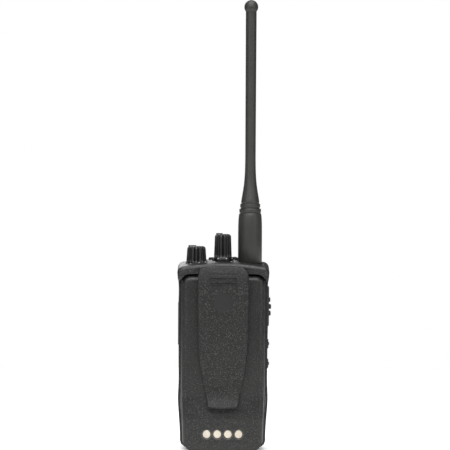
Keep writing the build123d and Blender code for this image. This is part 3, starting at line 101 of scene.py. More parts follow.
WAVE_PERIOD = 20            # the wave texture repeats this many times less often than its scale says
BRUSH_STRETCH = 0.03        # a brushed line's length against its width
FLECK_START = 0.70          # noise height where the first flecks would show
FLECK_SPREAD = 0.42         # how much lower they start when they cover everything
FLECK_EDGE = 0.14           # noise height over which a fleck fades in
CLOUD_SCALE = 60.0          # clouds about 17 mm across
CLOUD_RANGE = (0.3, 0.7)
ROUGHNESS_SWING = 0.05


class Grain(Enum):
    """How a surface's small relief was made."""

    SPARK = "spark eroded mould: rounded pits and bright points"
    SATIN = "fine satin mould or plating"
    BRUSHED = "brushed along the width"
    RINGED = "turned about an upright axis"
    WOVEN = "plain woven cloth"
    LAMINATE = "glass cloth under lacquer"


@dataclass(frozen=True)
class Finish:
    """One real material and how its surface was made.

    base and fleck are sRGB hex colours, the fleck being the grain's raised points. grain_mm is the
    grain's spacing and relief_mm its depth. A fleck_share of 0.5 colours half of the surface.
    """

    name: str
    base: str
    fleck: str
    roughness: float
    grain: Grain
    grain_mm: float
    relief_mm: float
    fleck_share: float = 0.3
    metallic: float = 0.0
    ior: float = 1.5
    coat: float = 0.0
    sheen: float = 0.0
    clouding: float = 0.10

    def draw_grain(self, tree: bpy.types.NodeTree, place: bpy.types.NodeSocket) -> bpy.types.NodeSocket:
        """Draw the relief.

        Args:
            tree: the material's node tree.
            place: object coordinates in metres.

        Returns:
            A height from about zero to one.
        """
        scale = 1 / (self.grain_mm * MM)
        wave = scale / WAVE_PERIOD
        if self.grain is Grain.BRUSHED:
            drawn = add_node(tree, "ShaderNodeMapping",
                             {"Vector": place, "Scale": (BRUSH_STRETCH, 1.0, 1.0)})
            place = drawn.outputs[0]
        if self.grain is Grain.RINGED:
            rings = add_node(tree, "ShaderNodeTexWave",
                             {"Vector": place, "Scale": wave, "Distortion": 0.8},
                             wave_type="BANDS", bands_direction="Z")
            return rings.outputs["Fac"]
        if self.grain in (Grain.WOVEN, Grain.LAMINATE):
            threads = [add_node(tree, "ShaderNodeTexWave", {"Vector": place, "Scale": wave},
                                wave_type="BANDS", bands_direction=way).outputs["Fac"]
                       for way in ("X", "Z")]
            crossed = add_node(tree, "ShaderNodeMath", {0: threads[0], 1: threads[1]},
                               operation="MULTIPLY")
            return crossed.outputs[0]
        noise = add_node(tree, "ShaderNodeTexNoise",
                         {"Vector": place, "Scale": scale, "Detail": 2.0, "Roughness": 0.6})
        return noise.outputs["Fac"]

    def material(self) -> bpy.types.Material:
        """Build the shader once.

        Returns:
            The material, the same one each time.
        """
        made = bpy.data.materials.get(self.name)
        if made is not None:
            return made
        made = bpy.data.materials.new(self.name)
        made.use_nodes = True
        tree = made.node_tree
        tree.nodes.clear()
        place = add_node(tree, "ShaderNodeTexCoord").outputs["Object"]
        height = self.draw_grain(tree, place)
        start = FLECK_START - FLECK_SPREAD * self.fleck_share
        fleck = add_node(tree, "ShaderNodeMapRange",
                         {"Value": height, "From Min": start, "From Max": start + FLECK_EDGE})
        cloud = add_node(tree, "ShaderNodeTexNoise",
                         {"Vector": place, "Scale": CLOUD_SCALE, "Detail": 3.0}).outputs["Fac"]
        clouded = {"Value": cloud, "From Min": CLOUD_RANGE[0], "From Max": CLOUD_RANGE[1]}
        tone = add_node(tree, "ShaderNodeMapRange",
                        {**clouded, "To Min": 1 - self.clouding, "To Max": 1 + self.clouding})
        blend = add_node(tree, "ShaderNodeMix",
                         {0: fleck.outputs[0], 6: linear(self.base), 7: linear(self.fleck)},
                         data_type="RGBA")
        colour = add_node(tree, "ShaderNodeVectorMath",
                          {0: blend.outputs[2], "Scale": tone.outputs[0]}, operation="SCALE")
        rough = add_node(tree, "ShaderNodeMapRange",
                         {**clouded, "To Min": self.roughness - ROUGHNESS_SWING,
                          "To Max": self.roughness + ROUGHNESS_SWING})
        bump = add_node(tree, "ShaderNodeBump",
                        {"Strength": 1.0, "Distance": self.relief_mm * MM, "Height": height})
        inputs = {"Base Color": colour.outputs[0], "Roughness": rough.outputs[0],
                  "Metallic": self.metallic, "Normal": bump.outputs[0],
                  "Coat Weight": self.coat, "Sheen Weight": self.sheen}
        if self.metallic == 0:
            inputs["IOR"] = self.ior
        shader = add_node(tree, "ShaderNodeBsdfPrincipled", inputs)
        add_node(tree, "ShaderNodeOutputMaterial", {"Surface": shader.outputs[0]})
        return made


# Black PC-ABS with a spark texture: matt black with fine bright points. The real grain is about
# 0.3 mm. It is drawn coarser so that it shows at arm's length.
HOUSING = Finish("moulded PC-ABS, spark texture", base="0d0d0c", fleck="41403e", roughness=0.44,
                 grain=Grain.SPARK, grain_mm=0.85, relief_mm=0.09, fleck_share=0.42)

# The battery's own moulding: a little smoother and more even than the housing. Its grain is drawn
# coarser too.
BATTERY = Finish("moulded polycarbonate, fine spark texture", base="0f0e0e", fleck="3a3937",
                 roughness=0.38, grain=Grain.SPARK, grain_mm=0.8, relief_mm=0.06, fleck_share=0.42)

# The lips round the contacts are the same moulding, smooth and shiny. Their grey colour is a painted
# highlight that stands in for the crescent of light each lip catches below its contact.
LIP_HIGHLIGHT = Finish("polycarbonate lip with painted highlight", base="5a5854", fleck="77756f", roughness=0.2,
             grain=Grain.SATIN, grain_mm=0.4, relief_mm=0.003, fleck_share=0.3)

# Glass filled nylon: drier and darker than the case, with small bright points, drawn coarser.
CLIP = Finish("moulded glass filled nylon", base="060606", fleck="393835", roughness=0.54,
              grain=Grain.SPARK, grain_mm=0.8, relief_mm=0.09, fleck_share=0.42, ior=1.45)

# The disc in the clip: the same black with hardly any grain, so it reads as a smooth spot.
DISC = Finish("moulded nylon, polished pad", base="1a1a1a", fleck="222221", roughness=0.42,
              grain=Grain.SATIN, grain_mm=0.6, relief_mm=0.004, fleck_share=0.2)

# Knobs come from a polished mould: near black, with a narrow highlight along each flute.
KNOB = Finish("moulded ABS, semi gloss", base="0b0b0b", fleck="161616", roughness=0.38,
              grain=Grain.SATIN, grain_mm=0.5, relief_mm=0.004, fleck_share=0.2, ior=1.52)

# The antenna's overmould: dull, slightly green grey, one soft highlight down its length.
ANTENNA = Finish("moulded polyurethane overmould", base="2a2a28", fleck="353532", roughness=0.48,
                 grain=Grain.SATIN, grain_mm=0.7, relief_mm=0.012, fleck_share=0.3)

# Keys are soft rubber: matt, with a faint dusty sheen.
KEY = Finish("moulded silicone rubber", base="171716", fleck="272725", roughness=0.62,
             grain=Grain.SATIN, grain_mm=0.5, relief_mm=0.01, fleck_share=0.3, sheen=0.15)

# The socket cover is a firmer rubber, smoother than the keys.
COVER = Finish("moulded thermoplastic elastomer", base="191918", fleck="2b2b29", roughness=0.58,
               grain=Grain.SATIN, grain_mm=0.6, relief_mm=0.012, fleck_share=0.3, sheen=0.1)

# Thin gold over nickel: pale cream discs that the charger's pins keep bright.
CHARGING = Finish("nickel with a gold flash", base="dcd3c4", fleck="ebe3d5", roughness=0.38,
                  grain=Grain.SATIN, grain_mm=0.3, relief_mm=0.001, fleck_share=0.3, metallic=1.0)

# Hard gold: small warm highlights on the spring contacts.
GOLD = Finish("hard gold plating", base="e6c27a", fleck="f4dba0", roughness=0.28, grain=Grain.SATIN,
              grain_mm=0.3, relief_mm=0.002, fleck_share=0.3, metallic=1.0)

# Brushed aluminium: a light plate with fine lines across it.
BADGE = Finish("brushed aluminium badge", base="8f9194", fleck="b4b6b8", roughness=0.34,
               grain=Grain.BRUSHED, grain_mm=0.25, relief_mm=0.006, fleck_share=0.4, metallic=1.0)

# Tinted acrylic: a dark red window with a sharp highlight.
LENS = Finish("tinted acrylic light guide", base="5c1512", fleck="7a2320", roughness=0.12,
              grain=Grain.SATIN, grain_mm=0.8, relief_mm=0.001, fleck_share=0.3, coat=0.6, ior=1.49)

# Woven cloth: nearly black behind the grille, with crossed threads when seen close.
CLOTH = Finish("woven polyester grille cloth", base="0d0d0d", fleck="2a2a29", roughness=0.85,
               grain=Grain.WOVEN, grain_mm=0.5, relief_mm=0.1, fleck_share=0.6, sheen=0.2)

# Open foam: dull and uneven.
FOAM = Finish("polyurethane foam", base="191919", fleck="2b2b2b", roughness=0.9, grain=Grain.SPARK,
              grain_mm=0.5, relief_mm=0.08, fleck_share=0.5)

# Paper pulp: warm dark grey, fibrous.
PAPER = Finish("pressed paper pulp", base="2b2723", fleck="3f3a34", roughness=0.8, grain=Grain.SPARK,
               grain_mm=0.4, relief_mm=0.03, fleck_share=0.4)

# Zinc plate: cool grey with a soft shine.
STEEL = Finish("zinc plated pressed steel", base="a9abad", fleck="c3c5c7", roughness=0.36,
               grain=Grain.SATIN, grain_mm=0.6, relief_mm=0.003, fleck_share=0.4, metallic=1.0)

# Nickel plate: brighter and smoother than the frame beside it.
MAGNET = Finish("nickel plated magnet", base="9c9da0", fleck="b5b6b8", roughness=0.25,
                grain=Grain.SATIN, grain_mm=0.9, relief_mm=0.002, fleck_share=0.3, metallic=1.0)

# Silicone: plain mid grey, slightly soft in its highlights.
SILICONE = Finish("grey silicone seal", base="3b3c3e", fleck="4a4b4d", roughness=0.6, grain=Grain.SATIN,
                  grain_mm=0.6, relief_mm=0.01, fleck_share=0.3)

# Solder resist over glass cloth: deep green under a clear gloss.
BOARD = Finish("epoxy glass laminate, green resist", base="123a22", fleck="1c4d2e", roughness=0.35,
               grain=Grain.LAMINATE, grain_mm=0.6, relief_mm=0.01, fleck_share=0.5, coat=0.4)

# Tin plate: bright, lightly clouded shield cans.
TIN = Finish("tin plated steel can", base="b9bbbd", fleck="d0d1d3", roughness=0.3, grain=Grain.SATIN,
             grain_mm=1.4, relief_mm=0.004, fleck_share=0.4, metallic=1.0)

# Black oxide: dark steel with a low shine.
SCREW = Finish("black oxide machine screw", base="3a3a3c", fleck="55565a", roughness=0.38,
               grain=Grain.SATIN, grain_mm=0.4, relief_mm=0.003, fleck_share=0.3, metallic=1.0)

# Bead blasted die casting: an even, sparkling light grey.
CHASSIS = Finish("die cast aluminium, bead blasted", base="8b8d90", fleck="a5a7aa", roughness=0.48,
                 grain=Grain.SPARK, grain_mm=0.7, relief_mm=0.03, fleck_share=0.45, metallic=1.0)

# Nylon: plain black, a little waxy.
NYLON = Finish("moulded black nylon", base="161616", fleck="262626", roughness=0.5, grain=Grain.SATIN,
               grain_mm=0.6, relief_mm=0.008, fleck_share=0.3)

# Turned and plated brass: pale yellow, with fine rings from the lathe.
BRASS = Finish("turned brass, nickel plated", base="b5a887", fleck="cbbf9f", roughness=0.3,
               grain=Grain.RINGED, grain_mm=0.4, relief_mm=0.004, fleck_share=0.4, metallic=1.0)

# Ground steel: light grey, with finer rings.
SHAFT = Finish("ground steel shaft", base="a0a2a5", fleck="bdbfc2", roughness=0.26, grain=Grain.RINGED,
               grain_mm=0.3, relief_mm=0.003, fleck_share=0.4, metallic=1.0)

# Shrink sleeve: smooth blue over the cells.
CELL = Finish("shrink sleeved lithium cell", base="2d4a73", fleck="385a88", roughness=0.38,
              grain=Grain.SATIN, grain_mm=1.2, relief_mm=0.02, fleck_share=0.3, coat=0.2)

# Acetal: black and slippery, shinier than the case around it.
LATCH = Finish("moulded acetal latch", base="141414", fleck="232323", roughness=0.4, grain=Grain.SATIN,
               grain_mm=0.6, relief_mm=0.006, fleck_share=0.3)

# Drawn wire: grey steel with a tight highlight.
SPRING = Finish("spring steel wire", base="85878a", fleck="a2a4a7", roughness=0.3, grain=Grain.SATIN,
                grain_mm=0.5, relief_mm=0.003, fleck_share=0.3, metallic=1.0)

# Pad printed ink: flat white with slightly broken tone.
INK = Finish("pad printed white ink", base="c9c8c4", fleck="e4e3df", roughness=0.6, grain=Grain.SATIN,
             grain_mm=0.25, relief_mm=0.004, fleck_share=0.6)

NODE_FINISHES = {
    HOUSING: ("front_housing",),
    BADGE: ("front_badge",),
    LENS: ("led_lens",),
    CLOTH: ("speaker_grille_cloth",),
    FOAM: ("speaker_gasket",),
    STEEL: ("speaker_frame",),
    MAGNET: ("speaker_magnet",),
    PAPER: ("speaker_cone",),
    SILICONE: ("microphone_boot", "main_seal", "control_seals"),
    KEY: ("ptt_button", "side_button_upper", "side_button_lower"),
    NYLON: ("ptt_switch_plunger", "ptt_switch", "side_switches", "speaker_jack", "microphone_jack",
            "radio_contact_block", "volume_switch_body", "channel_switch_body"),
    COVER: ("accessory_cover",),
    BOARD: ("side_control_board", "main_circuit_board", "battery_board"),
    TIN: ("microphone", "rf_shield_can", "audio_shield_can"),
    SCREW: ("board_screws", "chassis_screws"),
    CHASSIS: ("rear_chassis",),
    GOLD: ("radio_contacts", "battery_terminals"),
    CHARGING: ("charging_contacts",),
    SHAFT: ("volume_shaft", "channel_shaft", "clip_pin", "accessory_cover_pin", "antenna_stud"),
    BRASS: ("control_nuts", "antenna_bushing"),
    KNOB: ("volume_knob", "channel_knob"),
    ANTENNA: ("antenna_whip",),
    BATTERY: ("battery_case", "battery_inner_cover"),
    CELL: ("battery_cells",),
    LATCH: ("battery_latch",),
    CLIP: ("clip_base", "clip_lever"),
    SPRING: ("clip_spring",),
    DISC: ("clip_disc",),
}


# ---------------------------------------------------------------- modelling by hand

class Bench:
    """The few steps that every hand-modelled piece shares."""

    @staticmethod
    def clear_selection() -> None:
        """Leave object mode's selection empty."""
        if bpy.context.object and bpy.context.object.mode != "OBJECT":
            bpy.ops.object.mode_set(mode="OBJECT")
        bpy.ops.object.select_all(action="DESELECT")

    @staticmethod
    def pick(test: Callable[[Vector], bool]) -> int:
        """Select only the vertices that pass a test, in edit mode.

        Args:
            test: takes a vertex's place and says whether it is wanted.

        Returns:
            How many vertices were selected.
        """
        mesh = bmesh.from_edit_mesh(bpy.context.object.data)
        count = 0
        for vertex in mesh.verts:
            vertex.select = bool(test(vertex.co))
            count += vertex.select
        mesh.select_flush_mode()
        bmesh.update_edit_mesh(bpy.context.object.data)
        return count

    @staticmethod
    def spin_profile(name: str, profile: list[tuple[float, float]], axis: Vector,
                     steps: int) -> bpy.types.Object:
        """Draw a profile point by point and spin it round an upright axis.

        Args:
            name: the piece's name.
            profile: radius and height of each point, in millimetres, from one end to the other.
            axis: a point on the upright axis, in metres.
            steps: how many facets go round.

        Returns:
            The closed piece in object mode, selected.
        """
        Bench.clear_selection()
        bpy.context.tool_settings.mesh_select_mode = (True, False, False)
        radius, height = profile[0]
        bpy.ops.mesh.primitive_plane_add(size=MM, location=(axis.x + radius * MM, axis.y, height * MM))
        piece = bpy.context.object
        piece.name = piece.data.name = name
        bpy.ops.object.transform_apply(location=True, rotation=True, scale=True)
        bpy.ops.object.mode_set(mode="EDIT")
        bpy.ops.mesh.select_all(action="SELECT")
        bpy.ops.mesh.merge(type="CENTER")
        for (r0, z0), (r1, z1) in zip(profile, profile[1:]):
            bpy.ops.mesh.extrude_region_move(
                TRANSFORM_OT_translate={"value": ((r1 - r0) * MM, 0, (z1 - z0) * MM)})
        bpy.ops.mesh.select_all(action="SELECT")
        bpy.ops.mesh.spin(steps=steps, angle=FULL_TURN, center=(axis.x, axis.y, 0), axis=(0, 0, 1))
        bpy.ops.mesh.select_all(action="SELECT")
        bpy.ops.mesh.remove_doubles(threshold=1e-6)
        bpy.ops.mesh.normals_make_consistent(inside=False)
        bpy.ops.object.mode_set(mode="OBJECT")
        return piece

    @staticmethod
    def smooth(piece: bpy.types.Object, degrees: float) -> None:
        """Shade a piece smooth except over sharp edges.

        Args:
            piece: the piece to shade.
            degrees: edges that turn more than this stay sharp.
        """
        Bench.clear_selection()
        piece.select_set(True)
        bpy.context.view_layer.objects.active = piece
        bpy.ops.object.shade_smooth_by_angle(angle=math.radians(degrees))

    @staticmethod
    def dress(piece: bpy.types.Object, finish: Finish, body: str, slot: str) -> None:
        """Give a piece its finish and its body.

        Args:
            piece: the finished piece.
            finish: its only material.
            body: the body that carries it.
            slot: not used.
        """
        piece.data.materials.clear()
        piece.data.materials.append(finish.material())
        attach(piece, body)

    @staticmethod
    def join(pieces: list[bpy.types.Object], name: str) -> bpy.types.Object:
        """Join pieces into the first one.

        Args:
            pieces: the pieces, the first of which stays.
            name: the joined piece's name.

        Returns:
            The joined piece.
        """
        Bench.clear_selection()
        for piece in pieces:
            piece.select_set(True)
        bpy.context.view_layer.objects.active = pieces[0]
        bpy.ops.object.join()
        joined = bpy.context.object
        joined.name = joined.data.name = name
        return joined


@dataclass
class FlutedKnob:
    """A control knob: skirt, fluted grip whose ridges run over the crown, and a pointer rib.

    Radii and heights are in millimetres; heights are above the knob's underside.
    """

    name: str
    node: str
    body: str
    flutes: int
    skirt: float
    skirt_height: float
    grip: float
    crown: float
    flute_depth: float = 0.8
    crown_round: float = 2.0
    rib_height: float = 0.65
    rib_width: float = 1.9
    per_flute: int = 8
    flute_steps: tuple[tuple[int, float], ...] = ((3, 0.55), (4, 1.0), (5, 0.55))
    crown_steps: tuple[float, ...] = (0.72, 0.45, 0.2)
    foot_edge: float = 0.25
    grip_rings: int = 8
    crown_rings: int = 6
    rib_edge: float = 0.42

    def rings(self, height: float) -> list[tuple[float, float]]:
        """List radius and height of each ring of the grip, from the skirt to the crown.

        Args:
            height: the knob's height without its pointer rib.

        Returns:
            Pairs of radius and height in millimetres.
        """
        top = height - self.crown_round
        foot = self.skirt_height + 0.4
        rings = [(self.skirt - self.foot_edge, 0.0), (self.skirt, self.foot_edge),
                 (self.skirt, self.skirt_height - 0.35), (self.skirt - 0.2, self.skirt_height),
                 (self.grip + 0.15, self.skirt_height + 0.1), (self.grip, foot)]
        for step in range(1, self.grip_rings + 1):
            share = step / self.grip_rings
            rings.append((self.grip + (self.crown - self.grip) * share, foot + (top - foot) * share))
        for step in range(1, self.crown_rings + 1):
            angle = math.pi / 2 * step / self.crown_rings
            rings.append((self.crown - self.crown_round * (1 - math.cos(angle)),
                          top + self.crown_round * math.sin(angle)))
        return rings

    def build(self) -> bpy.types.Object:
        """Model the knob around its CAD node's axis and replace that node.

        Returns:
            The dressed knob.
        """
        lowest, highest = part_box(self.node)
        axis = (lowest + highest) / 2
        height = (highest.z - lowest.z) / MM - self.rib_height
        rings = self.rings(height)
        Bench.clear_selection()
        bpy.context.tool_settings.mesh_select_mode = (True, False, False)
        count = self.flutes * self.per_flute
        bpy.ops.mesh.primitive_circle_add(vertices=count, radius=rings[0][0] * MM,
                                          fill_type="NGON", location=(axis.x, axis.y, lowest.z))
        knob = bpy.context.object
        knob.name = knob.data.name = self.name
        bpy.ops.object.transform_apply(location=True, rotation=True, scale=True)
        bpy.ops.object.mode_set(mode="EDIT")
        bpy.ops.mesh.select_all(action="SELECT")
        centre = (axis.x, axis.y, 0.0)
        for (r0, z0), (r1, z1) in zip(rings, rings[1:]):
            bpy.ops.mesh.extrude_region_move(TRANSFORM_OT_translate={"value": (0, 0, (z1 - z0) * MM)})
            bpy.ops.transform.resize(value=(r1 / r0, r1 / r0, 1), center_override=centre)
        for inner in self.crown_steps:
            bpy.ops.mesh.extrude_region_move(TRANSFORM_OT_translate={"value": (0, 0, 0.02 * MM)})
            bpy.ops.transform.resize(value=(inner, inner, 1), center_override=centre)
        self.cut_flutes(axis, lowest.z + (self.skirt_height + 0.3) * MM,
                        lowest.z + (height - 0.35) * MM)
        bpy.ops.mesh.select_all(action="SELECT")
        bpy.ops.mesh.normals_make_consistent(inside=False)
        bpy.ops.object.mode_set(mode="OBJECT")
        rib = self.build_rib(axis, lowest.z + height * MM)
        knob = Bench.join([knob, rib], self.name)
        Bench.smooth(knob, 50)
        Bench.dress(knob, KNOB, self.body, "knob_plastic")
        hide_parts(self.node)
        return knob

    def cut_flutes(self, axis: Vector, floor: float, ceiling: float) -> None:
        """Draw the flutes in, deepest at the middle of each, from the skirt over the crown.

        Args:
            axis: a point on the knob's axis.
            floor: height where the flutes start, in metres.
            ceiling: height where they end.
        """
        centre = (axis.x, axis.y, 0.0)
        for step, share in self.flute_steps:
            def in_flute(place: Vector) -> bool:
                """Say whether a vertex lies on this line of a flute.

                Args:
                    place: the vertex's place.

                Returns:
                    True on the line, between the floor and the ceiling.
                """
                turn = math.atan2(place.y - axis.y, place.x - axis.x) / FULL_TURN * self.flutes
                wanted = step / self.per_flute
                near = abs((turn - wanted) % 1.0)
                return floor < place.z < ceiling and min(near, 1 - near) < 0.3 / self.per_flute
            if Bench.pick(in_flute):
                inward = 1 - share * self.flute_depth / self.grip
                bpy.ops.transform.resize(value=(inward, inward, 1), center_override=centre)

    def build_rib(self, axis: Vector, top: float) -> bpy.types.Object:
        """Model the pointer rib from the crown's middle to its edge.

        Args:
            axis: a point on the knob's axis.
            top: height of the crown in metres.

        Returns:
            The rib.
        """
        Bench.clear_selection()
        length = self.crown - 0.9
        bpy.ops.mesh.primitive_cube_add(
            size=1, location=(axis.x + (length / 2 + 0.1) * MM, axis.y, top - 0.1 * MM),
            scale=(length * MM, self.rib_width * MM, (2 * self.rib_height + 0.2) * MM))
        rib = bpy.context.object
        bpy.ops.object.transform_apply(location=True, rotation=True, scale=True)
        bpy.ops.object.mode_set(mode="EDIT")
        bpy.ops.mesh.select_all(action="SELECT")
        bpy.ops.mesh.bevel(offset=self.rib_edge * MM, segments=4, affect="EDGES")
        bpy.ops.mesh.normals_make_consistent(inside=False)
        bpy.ops.object.mode_set(mode="OBJECT")
        return rib


@dataclass
class WhipAntenna:
    """Overmoulded whip: sleeve, two rings, flare, long taper and ball tip. All in millimetres."""

    sleeve: float = 7.95
    foot: float = 123.05
    facets: int = 96
    ball: float = 4.65
    ball_height: float = 294.18
    neck: float = 3.6
    tip_steps: int = 14
    rings: tuple[tuple[float, float, float, float], ...] = (
        (7.2, 157.45, 160.15, 6.35), (6.65, 160.75, 163.5, 5.85))
    flare: tuple[tuple[float, float], ...] = (
        (5.9, 163.95), (6.1, 164.3), (6.0, 165.2), (5.72, 167.0), (5.2, 170.0), (4.72, 173.0),
        (4.3, 176.0), (3.95, 179.5), (3.7, 183.5), (3.55, 188.0), (3.48, 194.0), (3.48, 204.0),
        (3.5, 225.0), (3.54, 250.0), (3.58, 275.0))

    def ring(self, radius: float, low: float, high: float, groove: float) -> list[tuple[float, float]]:
        """List the points of one rounded ring and the groove above it.

        Args:
            radius: the ring's radius.
            low: height of its lower edge.
            high: height of its upper edge.
            groove: radius of the groove above it.

        Returns:
            Pairs of radius and height, from below to above.
        """
        edge = 0.45
        return [(radius - edge, low), (radius - 0.12, low + 0.15), (radius, low + edge),
                (radius, high - edge), (radius - 0.12, high - 0.15), (radius - edge, high),
                (groove, high + 0.1)]

    def profile(self) -> list[tuple[float, float]]:
        """List the outer profile from the foot to the tip.

        Returns:
            Pairs of radius and height, the first and the last on the axis.
        """
        points = [(0.0, self.foot), (self.sleeve - 0.4, self.foot), (self.sleeve, self.foot + 0.5),
                  (self.sleeve, 140.0), (self.sleeve - 0.03, 148.0), (self.sleeve - 0.12, 151.5),
                  (self.sleeve - 0.28, 154.0), (self.sleeve - 0.42, 155.6), (self.sleeve - 0.6, 156.6),
                  (self.sleeve - 0.9, 157.0), (6.95, 157.25)]
        for ring in self.rings:
            points += self.ring(*ring)
        points += [*self.flare, (self.neck, 289.0)]
        start = math.asin(-math.sqrt(1 - (self.neck / self.ball) ** 2))
        for step in range(self.tip_steps + 1):
            angle = start + (math.pi / 2 - start) * step / self.tip_steps
            points.append((max(self.ball * math.cos(angle), 0.0),
                           self.ball_height + self.ball * math.sin(angle)))
        points[-1] = (0.0, points[-1][1])
        return points

    def build(self) -> bpy.types.Object:
        """Model the whip and replace its CAD node.

        Returns:
            The dressed whip.
        """
        lowest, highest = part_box("antenna_whip")
        whip = Bench.spin_profile("antenna_overmould", self.profile(), (lowest + highest) / 2,
                                  self.facets)
        Bench.smooth(whip, 40)
        Bench.dress(whip, ANTENNA, "radio", "antenna_rubber")
        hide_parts("antenna_whip")
        return whip


@dataclass
class PaintedMarks:
    """Small printed marks: dots round the two knobs and dots on the channel knob's skirt."""

    dial_radius: float = 8.25
    dot: float = 0.45
    thickness: float = 0.40
    look_down: float = 140.0
    skirt: float = 6.35
    skirt_dot: float = 0.42
    skirt_dot_height: float = 127.0
    skirt_start: float = 61.2
    skirt_step: float = 50.3
    skirt_count: int = 7

    def dot_at(self, place: Vector, normal: Vector, size: float) -> bpy.types.Object:
        """Model one domed dot of ink on a surface.

        Args:
            place: its centre on the surface, in metres.
            normal: the surface's outward normal.
            size: its radius in millimetres.

        Returns:
            The dot, its place in its mesh.
        """
        Bench.clear_selection()
        bpy.ops.mesh.primitive_cylinder_add(vertices=20, radius=size * MM, depth=self.thickness * MM)
        dot = bpy.context.object
        bpy.ops.object.mode_set(mode="EDIT")
        Bench.pick(lambda co: co.z > 0)
        bpy.ops.mesh.bevel(offset=0.4 * self.thickness * MM, segments=2, affect="EDGES")
        bpy.ops.object.mode_set(mode="OBJECT")
        turn = normal.to_track_quat("Z", "Y").to_matrix().to_4x4()
        dot.data.transform(Matrix.Translation(place) @ turn)
        return dot

    def build_dial(self, node: str, name: str, angles: list[float]) -> bpy.types.Object:
        """Print the dots round one knob on the housing's top.

        Args:
            node: the knob's CAD node.
            name: the new piece's name.
            angles: directions from the knob's axis, in degrees from +X.

        Returns:
            The joined marks.
        """
        lowest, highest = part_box(node)
        axis = (lowest + highest) / 2
        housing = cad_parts["front_housing"]
        dots = []
        for angle in angles:
            way = Vector((math.cos(math.radians(angle)), math.sin(math.radians(angle)), 0))
            above = Vector((axis.x, axis.y, self.look_down * MM)) + way * self.dial_radius * MM
            hit, place, normal, _ = housing.ray_cast(above, Vector((0, 0, -1)))
            if hit and normal.z > 0.9:
                dots.append(self.dot_at(place, normal, self.dot))
        marks = Bench.join(dots, name)
        Bench.dress(marks, INK, "radio", "badge_plastic")
        return marks

    def build_skirt(self) -> bpy.types.Object:
        """Print the dots round the channel knob's skirt.

        Returns:
            The joined dots.
        """
        lowest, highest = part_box("channel_knob")
        axis = (lowest + highest) / 2
        dots = []
        for step in range(self.skirt_count):
            angle = math.radians(self.skirt_start + self.skirt_step * step)
            way = Vector((math.cos(angle), math.sin(angle), 0))
            place = Vector((axis.x, axis.y, self.skirt_dot_height * MM)) + way * self.skirt * MM
            dots.append(self.dot_at(place, way, self.skirt_dot))
        marks = Bench.join(dots, "channel_knob_dots")
        Bench.dress(marks, INK, "channel_selector", "badge_plastic")
        return marks


@dataclass
class ContactRims:
    """Lip below each charging contact: a tilted ring whose upper half lies in the case.

    All sizes are in millimetres.
    """

    pitch: float = 7.0
    height: float = 11.8
    inner: float = 2.97
    outer: float = 3.5
    lip: float = 0.32
    face: float = 18.6
    sunk: float = 0.15
    tilt_degrees: float = 6.0
    crest: float = 0.05
    count: int = 4
    facets: int = 48

    def build(self) -> bpy.types.Object:
        """Model one lip, copy it to the other contacts and join them.

        Returns:
            The joined lips.
        """
        ridge = (self.inner + self.outer) / 2
        profile = [(self.inner, -self.sunk), (self.inner, 0.02), (ridge - self.crest, self.lip),
                   (ridge + self.crest, self.lip), (self.outer, 0.02), (self.outer, -self.sunk),
                   (self.inner, -self.sunk)]
        first = Bench.spin_profile("contact_rims", profile, Vector((0, 0, 0)), self.facets)
        stand = Matrix.Rotation(-math.pi / 2 + math.radians(self.tilt_degrees), 4, "X")
        rims = []
        for step in range(self.count):
            rim = first if step == self.count - 1 else first.copy()
            if rim is not first:
                rim.data = first.data.copy()
                bpy.context.collection.objects.link(rim)
            place = Vector(((step - (self.count - 1) / 2) * self.pitch, self.face, self.height)) * MM
            rim.data.transform(Matrix.Translation(place) @ stand)
            rims.append(rim)
        joined = Bench.join(rims, "contact_rims")
        Bench.smooth(joined, 30)
        # The lips get the grey finish whose colour is a painted highlight.
        Bench.dress(joined, LIP_HIGHLIGHT, "battery", "battery_plastic")
        return joined


# ---------------------------------------------------------------- stage

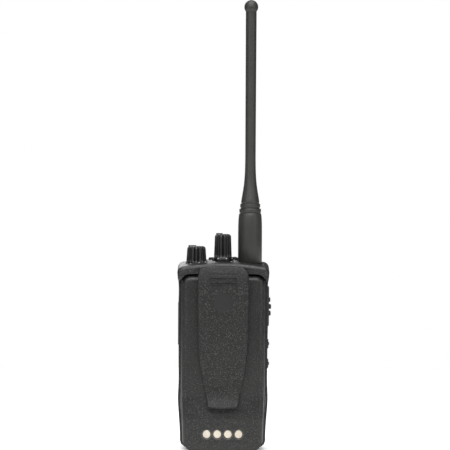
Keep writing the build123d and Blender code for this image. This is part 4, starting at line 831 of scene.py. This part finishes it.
@dataclass
class Studio:
    """Pale floor, soft lights and the camera."""

    distance: float = 1.45
    camera_height: float = 0.168
    aim_height: float = 0.1492
    aim_x: float = -0.0009
    lens: float = 174.5
    lean_degrees: float = 0.3
    floor_radius: float = 0.7
    floor_glow: float = 0.25
    room_light: float = 0.13

    def build_floor(self) -> None:
        """Lay the round white table that the radio stands on."""
        Bench.clear_selection()
        bpy.ops.mesh.primitive_circle_add(vertices=128, radius=self.floor_radius, fill_type="NGON",
                                          location=(0, 0, -0.01 * MM))
        floor = bpy.context.object
        floor.name = "studio_floor"
        paint = bpy.data.materials.new("matt studio paint")
        paint.use_nodes = True
        shader = paint.node_tree.nodes["Principled BSDF"]
        shader.inputs["Base Color"].default_value = linear("f6f6f4")
        shader.inputs["Roughness"].default_value = 0.9
        shader.inputs["Emission Color"].default_value = linear("ffffff")
        shader.inputs["Emission Strength"].default_value = self.floor_glow
        floor.data.materials.append(paint)

    @staticmethod
    def add_softbox(name: str, place: tuple[float, float, float],
                    target: tuple[float, float, float], size: tuple[float, float],
                    watts: float) -> None:
        """Hang one rectangular softbox.

        Args:
            name: the light's name.
            place: its centre in metres.
            target: the point it faces.
            size: its width and height in metres.
            watts: its power.
        """
        data = bpy.data.lights.new(name, "AREA")
        data.shape = "RECTANGLE"
        data.size, data.size_y = size
        data.energy = watts
        light = bpy.data.objects.new(name, data)
        light.location = place
        light.rotation_euler = (Vector(target) - Vector(place)).to_track_quat("-Z", "Y").to_euler()
        bpy.context.scene.collection.objects.link(light)

    def build_air(self) -> None:
        """Fill the room with even light, and show it as plain white behind the radio."""
        world = bpy.data.worlds.new("studio_air")
        world.use_nodes = True
        tree = world.node_tree
        tree.nodes.clear()
        seen = add_node(tree, "ShaderNodeBackground", {"Color": linear("ffffff"), "Strength": 1.0})
        felt = add_node(tree, "ShaderNodeBackground",
                        {"Color": linear("fbfcff"), "Strength": self.room_light})
        path = add_node(tree, "ShaderNodeLightPath")
        mix = add_node(tree, "ShaderNodeMixShader",
                       {0: path.outputs["Is Camera Ray"], 1: felt.outputs[0], 2: seen.outputs[0]})
        add_node(tree, "ShaderNodeOutputWorld", {"Surface": mix.outputs[0]})
        bpy.context.scene.world = world

    def build(self) -> None:
        """Set up floor, air, lights and camera."""
        scene = bpy.context.scene
        self.build_floor()
        self.build_air()
        self.add_softbox("top_softbox", (0, 0.3, 1.6), (0, 0, 0), (1.6, 1.2), 26.0)
        self.add_softbox("brow_softbox", (0, 1.55, 1.15), (0, 0, 0.08), (1.3, 0.4), 17.0)
        self.add_softbox("left_softbox", (1.15, 1.35, 0.85), (0, 0, 0.12), (0.35, 1.1), 7.0)
        self.add_softbox("right_softbox", (-1.3, 1.1, 0.7), (0, 0, 0.12), (0.3, 1.1), 5.0)
        self.add_softbox("front_softbox", (0.5, -1.6, 0.9), (0, 0, 0.12), (1.0, 1.0), 9.0)
        scene.view_settings.view_transform = "Standard"
        data = bpy.data.cameras.new("camera")
        data.lens = self.lens
        data.clip_end = 50.0
        camera = bpy.data.objects.new("camera", data)
        camera.location = (self.aim_x, self.distance, self.camera_height)
        aim = Vector((self.aim_x, 0, self.aim_height)) - camera.location
        turn = aim.to_track_quat("-Z", "Y").to_matrix()
        roll = Matrix.Rotation(math.radians(self.lean_degrees), 3, "Z")
        camera.rotation_euler = (turn @ roll).to_euler()
        scene.collection.objects.link(camera)
        scene.camera = camera


def dress_nodes() -> None:
    """Give every CAD node its finish."""
    for finish, names in NODE_FINISHES.items():
        for name in names:
            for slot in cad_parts[name].material_slots:
                slot.material = finish.material()
            log.info("%s: %s", name, finish.name)


def main() -> None:
    """Build everything in order and report each piece."""
    Studio().build()
    dress_nodes()
    knobs = (FlutedKnob("volume_control_knob", "volume_knob", "volume_control", flutes=16,
                        skirt=6.75, skirt_height=0.9, grip=6.7, crown=6.15),
             FlutedKnob("channel_selector_knob", "channel_knob", "channel_selector", flutes=14,
                        skirt=6.4, skirt_height=4.3, grip=5.9, crown=5.4))
    for knob in knobs:
        log.info("built %s", knob.build().name)
    log.info("built %s", WhipAntenna().build().name)
    log.info("built %s", ContactRims().build().name)
    marks = PaintedMarks()
    dials = (("volume_knob", "volume_dial_marks", [63, 103, 137, 170, 200, 25, -10]),
             ("channel_knob", "channel_dial_marks", [133, 165, 48, 15, 200, -20]))
    for node, name, angles in dials:
        log.info("built %s", marks.build_dial(node, name, angles).name)
    log.info("built %s", marks.build_skirt().name)


if __name__ == "__main__":
    main()
